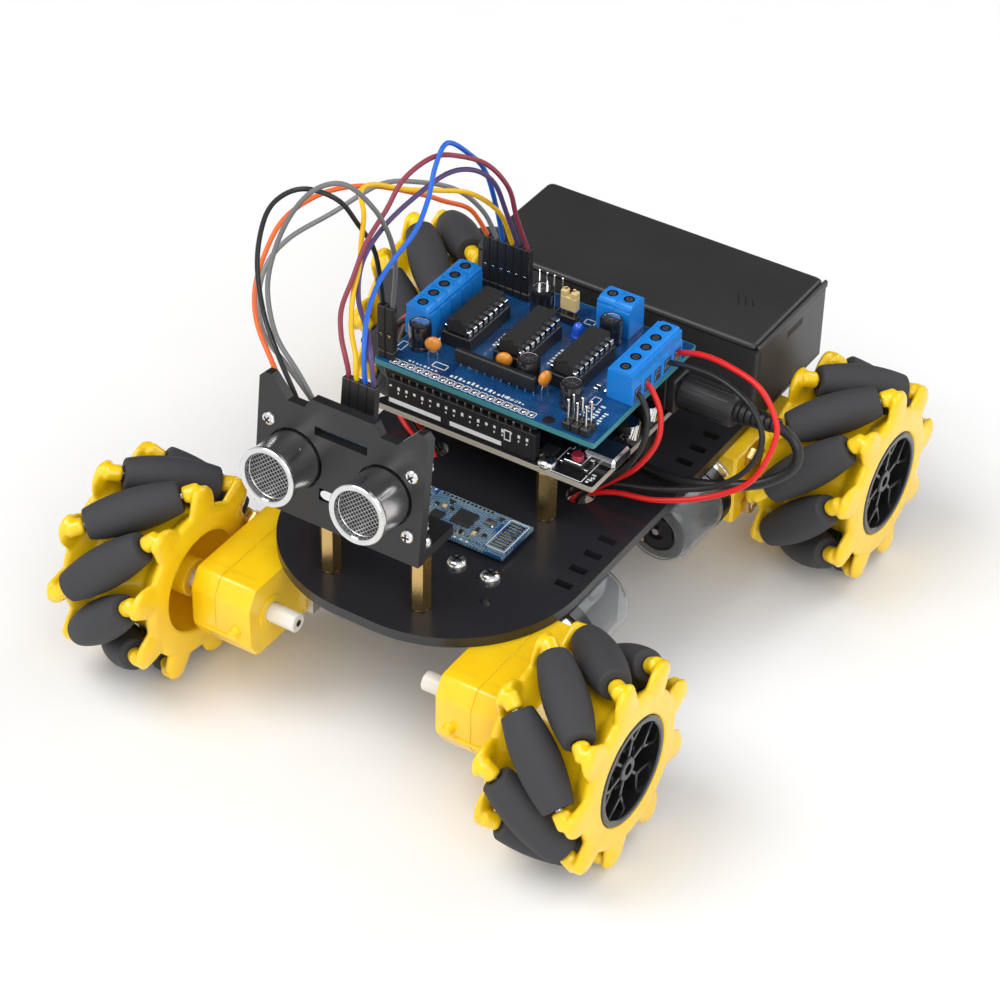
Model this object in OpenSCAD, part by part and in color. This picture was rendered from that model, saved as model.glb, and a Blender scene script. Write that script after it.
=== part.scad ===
// Four wheel robot chassis: an acrylic deck on four geared motors with mecanum wheels.
// It carries a controller board with a motor shield, a distance sensor, a wireless
// board and a covered battery box.
// Millimetres, +Z up. The origin is on the floor under the middle of the four wheels.
// The sensor looks towards -Y, so +X is the robot's own left.

/* [Wheels] */
// Diameter over the rollers
wheel_d = 60; // [60:0.5:61]
// Distance between the front and rear wheel axes
wheelbase = 140; // [138:1:144]
// Distance between the wheels' middle planes
track = 133; // [132:0.5:136]
// Width of a wheel over its rims
wheel_w = 31; // [31:0.5:32]
// Greatest diameter of a roller
roller_d = 11.8; // [11:0.1:11.9]
// Length of a roller
roller_len = 26; // [24:0.5:26]
// Diameter of the steel pin inside a roller
pin_d = 2; // [1.5:0.1:2.4]
// Diameter of the motor's output shaft
shaft_d = 5.4; // [5:0.1:5.6]

/* [Gear motors] */
// Width of the gearbox across the robot
gearbox_w = 18.8; // [18:0.1:19]
// Height of the gearbox
gearbox_h = 22.5; // [22:0.1:23]
// Length of the gearbox along the robot
gearbox_len = 37.5; // [36:0.5:38]
// Distance from the output shaft to the nose of the gearbox
nose = 9.5; // [9:0.5:11]
// Length of the motor can behind the gearbox
can_len = 22; // [20:0.5:24]

/* [Deck] */
// Width of the deck
deck_w = 87; // [84:0.5:88]
// Distance of the deck's front edge from the middle
deck_front = 72.5; // [70:0.5:75]
// Distance of the deck's rear edge from the middle
deck_rear = 90; // [86:0.5:95]
// Thickness of the deck
deck_t = 3; // [2:0.5:4]
// Radius of the deck's front corners
deck_front_r = 38; // [20:1:40]
// Diameter of the clearance holes for M3 screws
m3_hole = 3.2; // [3.1:0.1:3.4]
// Distance between the two spare holes
spare_x = 50; // [50:1:50]

/* [Boards] */
// Length of the controller board and of its shield
board_len = 68.6; // [68.6:0.1:68.6]
// Width of the controller board and of its shield
board_w = 53.3; // [53.3:0.1:53.3]
// Thickness of a circuit board
board_t = 1.6; // [1.2:0.1:1.6]
// Height of the brass posts under the controller board
board_post = 16; // [14:1:18]
// Distance from the controller board's top face to the shield's underside
shield_gap = 12.7; // [11:0.1:13]

/* [Distance sensor] */
// Width of the sensor's panel
panel_w = 51; // [50:1:54]
// Height of the sensor's panel along its face
panel_h = 39; // [38:1:42]
// Backward lean of the panel in degrees
panel_lean = 7; // [0:1:8]
// Height of the brass posts under the panel
sensor_post = 18; // [16:1:20]
// Diameter of the sensor's two cans
can_d = 16; // [16:0.1:16.2]
// Distance between the middles of the two cans
can_gap = 27.4; // [26:0.1:28]

/* [Battery box] */
// Length of the battery box across the robot
box_len = 92; // [90:1:94]
// Width of the battery box along the robot
box_w = 40; // [40:0.5:42]
// Height of the battery box
box_h = 25; // [24:0.5:26]
// Wall of the battery box
box_wall = 1.6; // [1.4:0.1:1.8]

/* [Hidden] */
$fn = 48;
ROLLERS = 9;
// name, side across the robot, side along it
CORNERS = [["front_left", 1, -1], ["front_right", -1, -1], ["rear_left", 1, 1], ["rear_right", -1, 1]];

wheel_r = wheel_d / 2;
rim = wheel_w / 2;
pitch_r = wheel_r - roller_d / 2;
roller_half = roller_len / 2;
deck_bottom = wheel_r + gearbox_h / 2;
deck_top = deck_bottom + deck_t;
gearbox_x = 38.4;
gearbox_in = gearbox_x - gearbox_w / 2;
gearbox_end = wheelbase / 2 + nose - gearbox_len;
screw_y = gearbox_end + 7.8;
board_front = -13.6;
board_z = deck_top + board_post;
board_top = board_z + board_t;
shield_z = board_top + shield_gap;
shield_top = shield_z + board_t;
// Mounting holes of the controller board, measured from the deck's middle
board_holes = [[19.06, board_front + 2.54], [20.33, board_front + 50.76],
               [-31.74, board_front + 17.74], [-31.74, board_front + 45.68]];
panel_x = -10;
panel_y = -67;
panel_t = 3;
panel_z = deck_top + sensor_post;
post_y = -60.5;
post_xs = [-16, 12];
eye_h = 17.5;
box_y = 54.7;
box_z = deck_top + 1.75;
lid_t = 2;
lid_gap = 0.1;
end_wall = 1.2;
cell_d = 18.3;
// Inner sides of the two ribs under the cover
rib_ys = [box_y + box_wall + lid_gap, box_y + box_w - box_wall - lid_gap - 1];
bracket_bolts = [10.4, 20.7];
// Distance from the middle to the bracket bolts and half the flange's width, front and rear
bracket_front = [41, 5];
bracket_rear = [43.7, 3.3];
function bracket(side) = side < 0 ? bracket_front : bracket_rear;
slot_ys = [-32.6, -25.4, -18.1, -10.7, 23, 30.2, 37.4, 44.6];
cable_holes = [[22, 2], [-22, -3]];

// ---------------------------------------------------------------- helpers

// A copy at each corner; children are drawn with the wheel's outer side towards +X
module at_wheel(c) {
    translate([c[1] * track / 2, c[2] * wheelbase / 2, wheel_r])
        mirror([c[1] < 0 ? 1 : 0, 0, 0]) children();
}

// A copy at each corner, mirrored in both directions, in the frame of the front left corner
module at_corner(c) {
    mirror([c[1] < 0 ? 1 : 0, 0, 0]) mirror([0, c[2] > 0 ? 1 : 0, 0]) children();
}

// A solid of revolution about X from a profile of [radius, x] points
module turned(profile) rotate([0, 90, 0]) rotate_extrude() polygon(profile);

// A plain cylinder along X
module rod_x(r, x0, x1) translate([x0, 0, 0]) rotate([0, 90, 0]) cylinder(r = r, h = x1 - x0);

// A plain cylinder along Y
module rod_y(r, y0, y1) translate([0, y0, 0]) rotate([-90, 0, 0]) cylinder(r = r, h = y1 - y0);

// A block given by two opposite corners
module block(a, b) translate(a) cube(b - a);

// A hexagonal post standing on z, with across-flats width w
module hex_post(w, z, h) translate([0, 0, z]) cylinder(d = w / cos(30), h = h, $fn = 6);

// Frame of roller i: +Y is radial and +X runs along the roller's axis
module at_roller(i, hand) {
    rotate([270 + 360 / ROLLERS * i, 0, 0]) translate([0, pitch_r, 0])
        rotate([0, 45 * hand, 0]) children();
}

// A smooth route through points, and the tube swept along it
function unit(v) = v / norm(v);
function spline(a, b, c, d, t) = 0.5 * (2 * b + (c - a) * t
    + (2 * a - 5 * b + 4 * c - d) * t * t + (3 * b - a - 3 * c + d) * t * t * t);
function route(p, steps) = let (n = len(p) - 1)
    concat([for (i = [0 : n - 1], k = [0 : steps - 1])
        spline(p[max(i - 1, 0)], p[i], p[i + 1], p[min(i + 2, n)], k / steps)], [p[n]]);
function heading(q, i) = unit(q[min(i + 1, len(q) - 1)] - q[max(i - 1, 0)]);
// Each ring's side direction is the one before it, turned square to the route
function sides(q, i = 0, s = [1, 0.2, 0.1], out = []) = i == len(q) ? out :
    let (t = heading(q, i), u = unit(s - (s * t) * t)) sides(q, i + 1, u, concat(out, [u]));
module tube(points, d, steps = 4) {
    q = route(points, steps);
    u = sides(q);
    n = len(q);
    rings = [for (i = [0 : n - 1], k = [0 : 7]) let (v = cross(heading(q, i), u[i]))
        q[i] + d / 2 * (u[i] * cos(45 * k) + v * sin(45 * k))];
    walls = [for (i = [0 : n - 2], k = [0 : 7]) let (a = 8 * i + k, b = 8 * i + (k + 1) % 8)
        [a, a + 8, b + 8, b]];
    polyhedron(rings, concat([[for (k = [0 : 7]) k]], walls,
        [[for (k = [7 : -1 : 0]) 8 * (n - 1) + k]]), convexity = 10);
}

// ---------------------------------------------------------------- wheels

lobe_turn = 27.5;
lobe_r = 26.6;
lobe_tip = 2.7;
lobe_in = rim - 2.8;
lobe_out = rim - 0.5;

// One petal of a wheel's rim, pointing along +Y
module petal() {
    rotate([0, 90, 0]) linear_extrude(lobe_out - lobe_in) {
        polygon([[-4.2, 17], [4.2, 17], [lobe_tip, lobe_r], [-lobe_tip, lobe_r]]);
        translate([0, lobe_r]) circle(lobe_tip);
    }
}

module wheel_frame(hand) {
    color("gold") difference() {
        union() {
            turned([[shaft_d / 2 + 0.05, -13], [5.4, -13], [5.4, 1], [14.5, 1], [14.5, -rim],
                    [18.6, -rim], [19.6, 1 - rim], [19.6, -11], [17.5, -8.5], [17.5, 8.5],
                    [19.6, 11], [19.6, rim - 1], [18.6, rim], [15.2, rim], [15.2, 4],
                    [shaft_d / 2 + 0.05, 4]]);
            for (i = [0 : ROLLERS - 1]) {
                rotate([270 + 360 / ROLLERS * i - hand * lobe_turn, 0, 0])
                    translate([lobe_in, 0, 0]) petal();
                rotate([270 + 360 / ROLLERS * i + hand * lobe_turn, 0, 0])
                    translate([-lobe_out, 0, 0]) petal();
                at_roller(i, hand) {
                    rod_x(2.4, roller_half + 0.35, 18.6);
                    rod_x(2.4, -18.6, -roller_half - 0.35);
                }
            }
        }
        for (i = [0 : ROLLERS - 1]) at_roller(i, hand) rod_x(pin_d / 2 + 0.02, -17.5, 17.5);
    }
}

// The black insert, the output shaft with its gear, and the roller pins
module wheel_hub(hand) {
    color("dimgray") difference() {
        union() {
            turned([[0, 8], [15.1, 8], [15.1, rim], [13.2, rim], [13.2, 9.5], [3.4, 9.5],
                    [3.4, rim - 1.5], [0, rim - 1.5]]);
            for (k = [0 : 5]) rotate([60 * k, 0, 0]) block([9, 3, -0.6], [rim - 1, 13.5, 0.6]);
        }
        rod_x(1.6, 7, rim);
    }
    color("white") union() {
        rod_x(shaft_d / 2, -46.5, -7);
        rod_x(8.5, -31, -26);
    }
    color("silver") for (i = [0 : ROLLERS - 1]) at_roller(i, hand) rod_x(pin_d / 2, -17.4, 17.4);
}

function roller_radius(t) = wheel_r - sqrt(pitch_r * pitch_r + t * t / 2);

module roller(i, hand) {
    bore = pin_d / 2 + 0.06;
    color([0.13, 0.13, 0.14]) at_roller(i, hand) turned(concat([[bore, -roller_half]],
        [for (k = [0 : 12]) let (t = roller_half * (k / 6 - 1)) [roller_radius(t), t]],
        [[bore, roller_half]]));
}

// ---------------------------------------------------------------- gear motors

// The gearboxes' closed cases, each hollow around the output gear
module gearboxes() {
    color("gold") for (c = CORNERS) at_corner(c) difference() {
        rotate([90, 0, 90]) translate([0, 0, gearbox_in]) linear_extrude(gearbox_w)
            polygon([[-gearbox_end, wheel_r - gearbox_h / 2], [-gearbox_end, deck_bottom],
                     [3 - wheelbase / 2 - nose, deck_bottom],
                     [-wheelbase / 2 - nose, deck_bottom - 5],
                     [-wheelbase / 2 - nose, wheel_r - gearbox_h / 2 + 5],
                     [3 - wheelbase / 2 - nose, wheel_r - gearbox_h / 2]]);
        translate([0, -wheelbase / 2, wheel_r]) {
            rod_x(shaft_d / 2 + 0.08, gearbox_in - 1, gearbox_in + gearbox_w + 1);
            rod_x(9, gearbox_in + 5.5, gearbox_in + 12.5);
        }
        for (z = [-8, 8]) translate([0, -screw_y, wheel_r + z])
            rod_x(1.6, gearbox_in - 1, gearbox_in + gearbox_w + 1);
    }
}

// The motor cans with their black end caps
module motors() {
    for (c = CORNERS) at_corner(c) translate([gearbox_x, -gearbox_end, wheel_r]) {
        color("silver") intersection() {
            rod_y(10, 0, can_len);
            block([-7.55, -1, -11], [7.55, can_len + 1, 11]);
        }
        color("black") difference() {
            intersection() {
                rod_y(9.6, can_len, can_len + 5);
                block([-7.2, can_len, -11], [7.2, can_len + 6, 11]);
            }
            rod_y(1.1, can_len + 3, can_len + 6);
        }
    }
}

// Aluminium angle brackets between the gearboxes and the deck
module motor_brackets() {
    color("silver") for (c = CORNERS) at_corner(c) let (y = -bracket(c[2])[0], w = bracket(c[2])[1])
    difference() {
        union() {
            block([5.5, y - w, deck_bottom - 5], [gearbox_in, y + w, deck_bottom]);
            block([gearbox_in - 2.2, -screw_y - 4.4, wheel_r - gearbox_h / 2],
                  [gearbox_in, y + w, deck_bottom]);
        }
        for (x = bracket_bolts) translate([x, y, deck_bottom - 6]) cylinder(d = 3.04, h = 7);
        for (z = [-8, 8]) translate([0, -screw_y, wheel_r + z]) {
            rod_x(1.6, gearbox_in - 4, gearbox_in + 1);
            turned([[0, gearbox_in - 2.3], [2.5, gearbox_in - 2.3], [1.55, gearbox_in - 0.9],
                    [0, gearbox_in - 0.9]]);
        }
    }
}

// ---------------------------------------------------------------- deck

module deck_outline() {
    rear_r = 6;
    union() {
        for (s = [-1, 1]) {
            translate([s * (deck_w / 2 - deck_front_r), deck_front_r - deck_front])
                circle(deck_front_r);
            translate([s * (deck_w / 2 - rear_r), deck_rear - rear_r]) circle(rear_r);
        }
        translate([deck_front_r - deck_w / 2, -deck_front])
            square([deck_w - 2 * deck_front_r, deck_front + deck_rear]);
        translate([-deck_w / 2, deck_front_r - deck_front])
            square([deck_w, deck_front + deck_rear - deck_front_r - rear_r]);
    }
}

module chassis_plate() {
    color([0.06, 0.06, 0.07]) difference() {
        translate([0, 0, deck_bottom]) linear_extrude(deck_t) deck_outline($fn = 96);
        translate([0, 0, deck_bottom - 1]) {
            for (s = [-1, 1]) translate([s * spare_x / 2, -50, 0])
                cylinder(d = m3_hole, h = deck_t + 2);
            for (p = board_holes) translate([p[0], p[1], 0]) cylinder(d = m3_hole, h = deck_t + 2);
            for (x = post_xs) translate([x, post_y, 0]) cylinder(d = m3_hole, h = deck_t + 2);
            for (s = [-1, 1], t = [-1, 1], x = bracket_bolts)
                translate([s * x, t * bracket(t)[0], 0]) cylinder(d = m3_hole, h = deck_t + 2);
            for (p = cable_holes) translate([p[0], p[1], 0]) cylinder(d = 8, h = deck_t + 2);
            for (s = [-1, 1], y = slot_ys) translate([s * 38 - 2.5, y - 1.2, 0])
                cube([5, 2.4, deck_t + 2]);
        }
    }
}

// ---------------------------------------------------------------- boards

// A circuit board with the usual stepped outline, standing on z
module board_shape(z, t) {
    translate([-board_len / 2, board_front, z]) cube([board_len, board_w, t]);
}

module controller_board() {
    color([0.05, 0.05, 0.06]) difference() {
        union() {
            board_shape(board_z, board_t);
            block([23.4, 26, board_top], [36.1, 34, board_top + 11]);
            block([26, -4.5, board_top], [35.6, 4.5, board_top + 3.3]);
            block([-30.9, board_front + 1.3, board_top], [15.9, board_front + 3.8, board_top + 8.5]);
            block([-31, board_front + 49.5, board_top], [14, board_front + 52, board_top + 8.5]);
            block([-14, 14, board_top], [20, 22, board_top + 4]);
            block([22.4, board_front + 4.4, board_top], [28.4, board_front + 10.4, board_top + 1.9]);
            for (y = [10.5, 20.5]) translate([31, y, board_top]) cylinder(d = 6.3, h = 5.6);
        }
        for (p = board_holes) translate([p[0], p[1], board_z - 1]) cylinder(d = m3_hole, h = 4);
        translate([22, 30, board_top + 6]) rod_x(3.2, 3, 16);
        translate([0, 0, board_top]) block([30, -3.2, 0.6], [36, 3.2, 2.8]);
        translate([25.4, board_front + 7.4, board_top + 0.4]) cylinder(d = 3.5, h = 4);
    }
}

module reset_button() {
    color("crimson") translate([25.4, board_front + 7.4, board_top + 1.3]) cylinder(d = 3.4, h = 1.6);
}

// One row of screw terminals along Y, with its wire mouths towards +X
module terminal_row(count) {
    pitch = 5.2;
    difference() {
        rotate([90, 0, 0]) translate([0, 0, -count * pitch]) linear_extrude(count * pitch)
            polygon([[-4, 0], [4, 0], [4, 5.6], [2.6, 10], [-2.6, 10], [-4, 8]]);
        for (k = [0 : count - 1]) translate([0, (k + 0.5) * pitch, 0]) {
            translate([0, 0, 6]) cylinder(r = 1.6, h = 6);
            block([1, -1.9, 1], [5, 1.9, 4.6]);
        }
    }
}

chip_xs = [-18.7, -2.2, 14.6];
cap_spots = [[-27.2, -2.1], [-9.1, 30.2], [5.4, 0.6], [20.6, -2.4], [14.1, 28.3]];
front_pins = [-33, -30.4];
rear_pins = [for (k = [0 : 5]) -28 + 2.54 * k];

module drive_shield() {
    color([0.05, 0.25, 0.55]) difference() {
        board_shape(shield_z, board_t);
        translate([19.06, board_front + 2.54, shield_z - 1]) cylinder(d = m3_hole, h = 4);
    }
    color([0.05, 0.05, 0.06]) {
        for (x = chip_xs) translate([x, 2.2, shield_top]) {
            block([-4.6, 0, 0], [4.6, 20.4, 4.2]);
            block([-3.2, 0.5, 4.2], [3.2, 20, 8]);
        }
        for (p = cap_spots) translate([p[0], p[1], shield_top]) cylinder(d = 6.3, h = 7.6);
        block([-15, -4.6, shield_top], [10, -2.2, shield_top + 5.2]);
        block([24.2, -12.6, shield_top], [31.8, -7.5, shield_top + 2.5]);
        block([rear_pins[0] - 1.3, 31.2, shield_top], [2.6, 33.8, shield_top + 2.5]);
        block([front_pins[0] - 1.3, -12.3, shield_top], [front_pins[1] + 1.3, -9.7, shield_top + 2.5]);
        // Pin strips that plug into the controller board's sockets
        for (r = [[-30.9, 15.9, board_front + 2.55], [-31, 14, board_front + 50.75]]) {
            block([r[0], r[2] - 1.25, shield_z - 2.5], [r[1], r[2] + 1.25, shield_z]);
            block([r[0] + 1, r[2] - 0.3, board_top + 8.6], [r[1] - 1, r[2] + 0.3, shield_z - 2.4]);
        }
    }
    color([0.1, 0.45, 0.85]) {
        translate([30.1, 6, shield_top]) terminal_row(5);
        translate([-30.1, 1, shield_top]) mirror([1, 0, 0]) terminal_row(5);
        translate([7.4, 35.6, shield_top]) rotate([0, 0, -90]) mirror([1, 0, 0]) terminal_row(2);
    }
}

// A small radio board, taped flat on the deck behind the sensor
module wireless_board() {
    color([0.1, 0.25, 0.5]) {
        block([-16, -35, deck_top + 1.2], [20.5, -19.5, deck_top + 2.4]);
        block([-8, -33.8, deck_top + 2.4], [20.5, -20.7, deck_top + 3.2]);
        block([-4, -32, deck_top + 3.2], [9, -23, deck_top + 4.4]);
    }
    color("black") {
        block([-14, -34, deck_top], [18, -20.5, deck_top + 1.2]);
        block([-17.6, -32.5, deck_top + 2.4], [-15, -22.2, deck_top + 4.9]);
    }
}

// ---------------------------------------------------------------- distance sensor

// Frame of the panel: X across, -Y out of its front face, Z up its face
module on_panel() {
    translate([panel_x, panel_y, panel_z]) rotate([-panel_lean, 0, 0]) children();
}

module panel_outline() {
    w = panel_w / 2;
    polygon([[-w, 0.5], [w, 0.5], [w, panel_h - 1.5], [w - 1.5, panel_h], [w - 3.5, panel_h],
             [16.7, panel_h - 5.5], [11.5, panel_h - 5.5], [9.5, panel_h - 2.5],
             [-9.5, panel_h - 2.5], [-11.5, panel_h - 5.5], [-16.7, panel_h - 5.5],
             [3.5 - w, panel_h], [1.5 - w, panel_h], [-w, panel_h - 1.5]]);
}

panel_screws = [for (u = [-21.8, 21.8], v = [-8.8, 8.8]) [u, eye_h + v]];

module sensor_bracket() {
    color([0.08, 0.08, 0.09]) difference() {
        union() {
            on_panel() rotate([90, 0, 0]) translate([0, 0, -panel_t])
                linear_extrude(panel_t) panel_outline();
            block([panel_x - panel_w / 2 + 0.5, panel_y + 1.5, panel_z],
                  [panel_x + panel_w / 2 - 0.5, panel_y + 17, panel_z + 3]);
        }
        on_panel() {
            for (s = [-1, 1]) translate([s * can_gap / 2, 0, eye_h])
                rod_y(can_d / 2 + 0.5, -2, panel_t + 2);
            for (p = panel_screws) translate([p[0], 0, p[1]]) rod_y(1.1, -2, panel_t + 2);
            block([-8, -2, eye_h + 9.3], [8, panel_t + 1, eye_h + 11.8]);
            block([-5.5, -2, eye_h - 9], [2.5, panel_t + 1, eye_h - 5.5]);
        }
        for (x = post_xs) translate([x, post_y, panel_z - 1]) cylinder(d = m3_hole, h = 6);
    }
}

module distance_sensor() {
    pcb_y = panel_t + 0.3;
    on_panel() {
        color([0.1, 0.25, 0.6]) difference() {
            block([-22.8, pcb_y, eye_h - 10.3], [22.8, pcb_y + 1.6, eye_h + 10.3]);
            for (p = panel_screws) translate([p[0], 0, p[1]]) rod_y(1.1, pcb_y - 1, pcb_y + 3);
        }
        color("silver") for (s = [-1, 1]) translate([s * can_gap / 2, 0, eye_h]) difference() {
            union() {
                rod_y(can_d / 2, -12, pcb_y);
                rod_y(can_d / 2 + 0.3, -12.2, -11);
            }
            rod_y(6.6, -13, -10.6);
        }
        color("black") {
            block([-5.1, pcb_y + 1.6, eye_h + 7.5], [5.1, pcb_y + 4.1, eye_h + 10.2]);
            block([-7, pcb_y + 1.6, eye_h - 6], [7, pcb_y + 3, eye_h + 4]);
        }
    }
}

// ---------------------------------------------------------------- posts and screws

// A pan head screw with its shank down -Z from the seat at z
module pan_screw(z, shank, d = 3, head = 5.6) {
    translate([0, 0, z]) rotate_extrude()
        polygon([[0, -shank], [d / 2, -shank], [d / 2, 0], [head / 2, 0], [head / 2, 1],
                 [head / 2 - 1.2, 2], [0, 2]]);
}

module posts_and_screws() {
    post_w = 5;
    color([0.75, 0.6, 0.25]) {
        for (x = post_xs) translate([x, post_y, 0]) hex_post(post_w, deck_top, sensor_post);
        for (p = board_holes) translate([p[0], p[1], 0]) hex_post(post_w, deck_top, board_post);
    }
    color("silver") {
        for (x = post_xs) translate([x, post_y, 0]) pan_screw(panel_z + 3, 3);
        for (p = board_holes) translate([p[0], p[1], 0]) pan_screw(board_top, board_t);
        for (x = post_xs) translate([x, post_y, 0]) mirror([0, 0, 1]) pan_screw(-deck_bottom, deck_t);
        for (p = board_holes) translate([p[0], p[1], 0])
            mirror([0, 0, 1]) pan_screw(-deck_bottom, deck_t);
        for (s = [-1, 1], t = [-1, 1], x = bracket_bolts)
            translate([s * x, t * bracket(t)[0], 0]) pan_screw(deck_top, deck_t + 4);
        for (c = CORNERS) at_corner(c) for (z = [-8, 8])
            translate([gearbox_in - 2.2, -screw_y, wheel_r + z]) {
                turned([[0, 0.1], [2.35, 0.1], [1.5, 1.2], [1.5, gearbox_w + 5.2], [0, gearbox_w + 5.2]]);
                translate([gearbox_w + 2.2, 0, 0]) rotate([0, 90, 0])
                    cylinder(d = 5.5 / cos(30), h = 2.4, $fn = 6);
            }
        on_panel() for (p = panel_screws) translate([p[0], 0, p[1]]) {
            rod_y(1, 0, panel_t + 5);
            rod_y(1.9, -1.2, 0);
            rod_y(2, panel_t + 1.9, panel_t + 3.4);
        }
    }
}

// ---------------------------------------------------------------- battery box

module battery_case() {
    color([0.13, 0.13, 0.14]) difference() {
        block([-box_len / 2, box_y, box_z], [box_len / 2, box_y + box_w, box_z + box_h]);
        block([box_wall - box_len / 2, box_y + box_wall, box_z + box_wall],
              [box_len / 2 - box_wall, box_y + box_w - box_wall, box_z + box_h + 1]);
        block([-box_len / 2 - 1, box_y - 1, box_z + box_h - lid_t],
              [box_len / 2 - end_wall, box_y + box_w + 1, box_z + box_h + 1]);
        block([box_len / 2 - 3, box_y + 16, box_z + box_h - 6.5],
              [box_len / 2 + 1, box_y + 25.5, box_z + box_h - 4]);
        translate([9.5, 0, 52.5]) rod_y(power_d / 2 + 0.2, box_y - 1, box_y + box_wall + 1);
        // Notches that let the cover's ribs slide out
        for (y = rib_ys) block([-box_len / 2 - 1, y - 0.2, box_z + box_h - lid_t - 1.5],
                               [-box_len / 2 + 3, y + 1.2, box_z + box_h]);
    }
    color("black") block([-40, box_y + 4, deck_top], [40, deck_rear - 1, box_z]);
}

// The cover plate, which slides off along X under no load
module battery_lid() {
    top = box_z + box_h;
    rib = box_wall + lid_gap;
    color([0.15, 0.15, 0.16]) {
        block([-box_len / 2, box_y, top - lid_t + 0.02],
              [box_len / 2 - end_wall - lid_gap, box_y + box_w, top]);
        for (y = rib_ys)
            block([rib - box_len / 2 + 2, y, top - lid_t - 1.2],
                  [box_len / 2 - 8, y + 1, top - lid_t + 0.02]);
    }
}

module battery_cells() {
    z = box_z + box_wall + cell_d / 2;
    for (s = [-1, 1]) translate([0, box_y + box_w / 2 + s * (cell_d / 2 + 0.02), z]) {
        color([0.1, 0.35, 0.65]) rod_x(cell_d / 2, -41, 24);
        color("silver") {
            rod_x(3.5, -42.4, -41);
            rod_x(5, 24, 26);
        }
    }
}

// ---------------------------------------------------------------- wires

wire_d = 1.35;
// Housings on the shield's pins and on the radio board's pins
housing_h = 14;
shield_ends = [[-33, -11], [-30.4, -11], [-28, 32.5], [-25.46, 32.5],
               [-15.3, 32.5], [-20.38, 32.5], [-17.84, 32.5], [-22.92, 32.5]];
housing_z = shield_top + 2.6;
// Each wire's free points, from just above its shield pin to its far housing
wire_routes = [
    [[-33, -11, 93], [-32, -16, 112], [-34, -21, 123], [-37, -25, 131], [-44, -29, 134],
     [-50, -32, 131], [-53, -35, 125], [-52, -40, 115], [-46, -46, 105], [-37, -52, 98],
     [-30, -54, 88], [-29, -52, 76], [-31, -46, 64], [-37, -38, 53], [-37, -31, 49], [-31, -31, 48]],
    [[-30, -11, 93], [-27, -14, 108], [-26, -18, 120], [-28, -22, 130], [-33, -27, 138],
     [-40, -30, 136], [-45, -34, 129], [-47, -39, 120], [-46, -44, 111], [-40, -49, 102],
     [-30, -53, 96], [-24, -54, 88], [-24, -52, 76], [-27, -45, 62], [-33, -35, 52],
     [-36, -29, 49], [-31, -28, 48]],
    [[-28, 32, 93], [-31, 28, 102], [-35, 21, 107], [-39, 15, 111], [-47, 3, 117],
     [-54, -8, 118], [-58, -20, 115], [-57, -31, 109], [-54, -39, 104], [-48, -46, 100],
     [-39, -52, 95], [-34, -53, 86], [-33, -49, 74], [-37, -42, 61], [-42, -33, 52],
     [-39, -26, 49], [-31, -26, 48]],
    [[-25, 32, 93], [-27, 28, 103], [-31, 21, 112], [-37, 12, 117], [-44, 4, 118],
     [-51, -8, 113], [-57, -19, 109], [-59, -27, 104], [-56, -35, 98], [-48, -43, 95],
     [-37, -49, 94], [-28, -50, 86], [-28, -46, 74], [-33, -39, 60], [-40, -29, 51],
     [-37, -23, 48], [-31, -23, 48]],
    [[-15, 32, 93], [-15, 26, 106], [-14, 20, 119], [-16, 13, 129], [-20, 6, 134],
     [-24, -1, 136], [-27, -10, 133], [-27, -18, 128], [-27, -27, 123], [-25, -36, 118],
     [-23, -44, 114], [-19, -50, 111], [-15, -54, 108.5], [-13.8, -54.6, 105.5],
     [-13.8, -54.3, 102.4]],
    [[-20, 32, 93], [-21, 27, 105], [-25, 19, 114], [-30, 10, 118], [-34, 2, 121],
     [-39, -6, 125], [-39, -12, 126], [-34, -18, 124], [-30, -25, 121], [-26, -32, 118],
     [-23, -39, 115], [-18, -47, 111.5], [-12.6, -53, 109], [-11.3, -54.8, 105.8],
     [-11.3, -54.3, 102.4]],
    [[-18, 32, 93], [-17, 24, 108], [-16, 16, 122], [-18, 9, 129], [-22, 2, 130],
     [-26, -9, 126], [-28, -19, 122], [-27, -29, 118], [-22, -38, 114], [-14, -46, 112],
     [-8, -53, 111], [-6.2, -54.8, 106.5], [-6.2, -54.3, 102.4]],
    [[-23, 32, 93], [-22, 27, 106], [-20, 18, 123], [-21, 11, 132], [-23, 4, 138],
     [-22, -3, 135], [-19, -11, 130], [-17, -20, 126], [-18, -30, 121], [-17, -38, 118],
     [-14, -46, 115], [-10, -53, 111], [-8.7, -54.8, 106.2], [-8.7, -54.3, 102.4]]];

module jumper_wires() {
    colors = ["black", "dimgray", "orangered", "gray", "indianred", "gold", "slateblue", "royalblue"];
    for (k = [0 : 7]) color(colors[k]) tube(wire_routes[k], wire_d, 3);
    color("black") {
        for (p = shield_ends) translate([p[0], p[1], housing_z])
            block([-1.25, -1.25, 0], [1.25, 1.25, housing_h]);
        for (y = [-31, -28.5, -26, -23.5]) translate([0, y, deck_top + 2.6])
            block([-31.5, -1.2, 0], [-17.8, 1.2, 2.5]);
        on_panel() block([-5.1, panel_t + 3.4, eye_h + 10.4], [5.1, panel_t + 5.9, eye_h + 24.4]);
    }
}

lead_d = 1.6;
power_d = 3;
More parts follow.
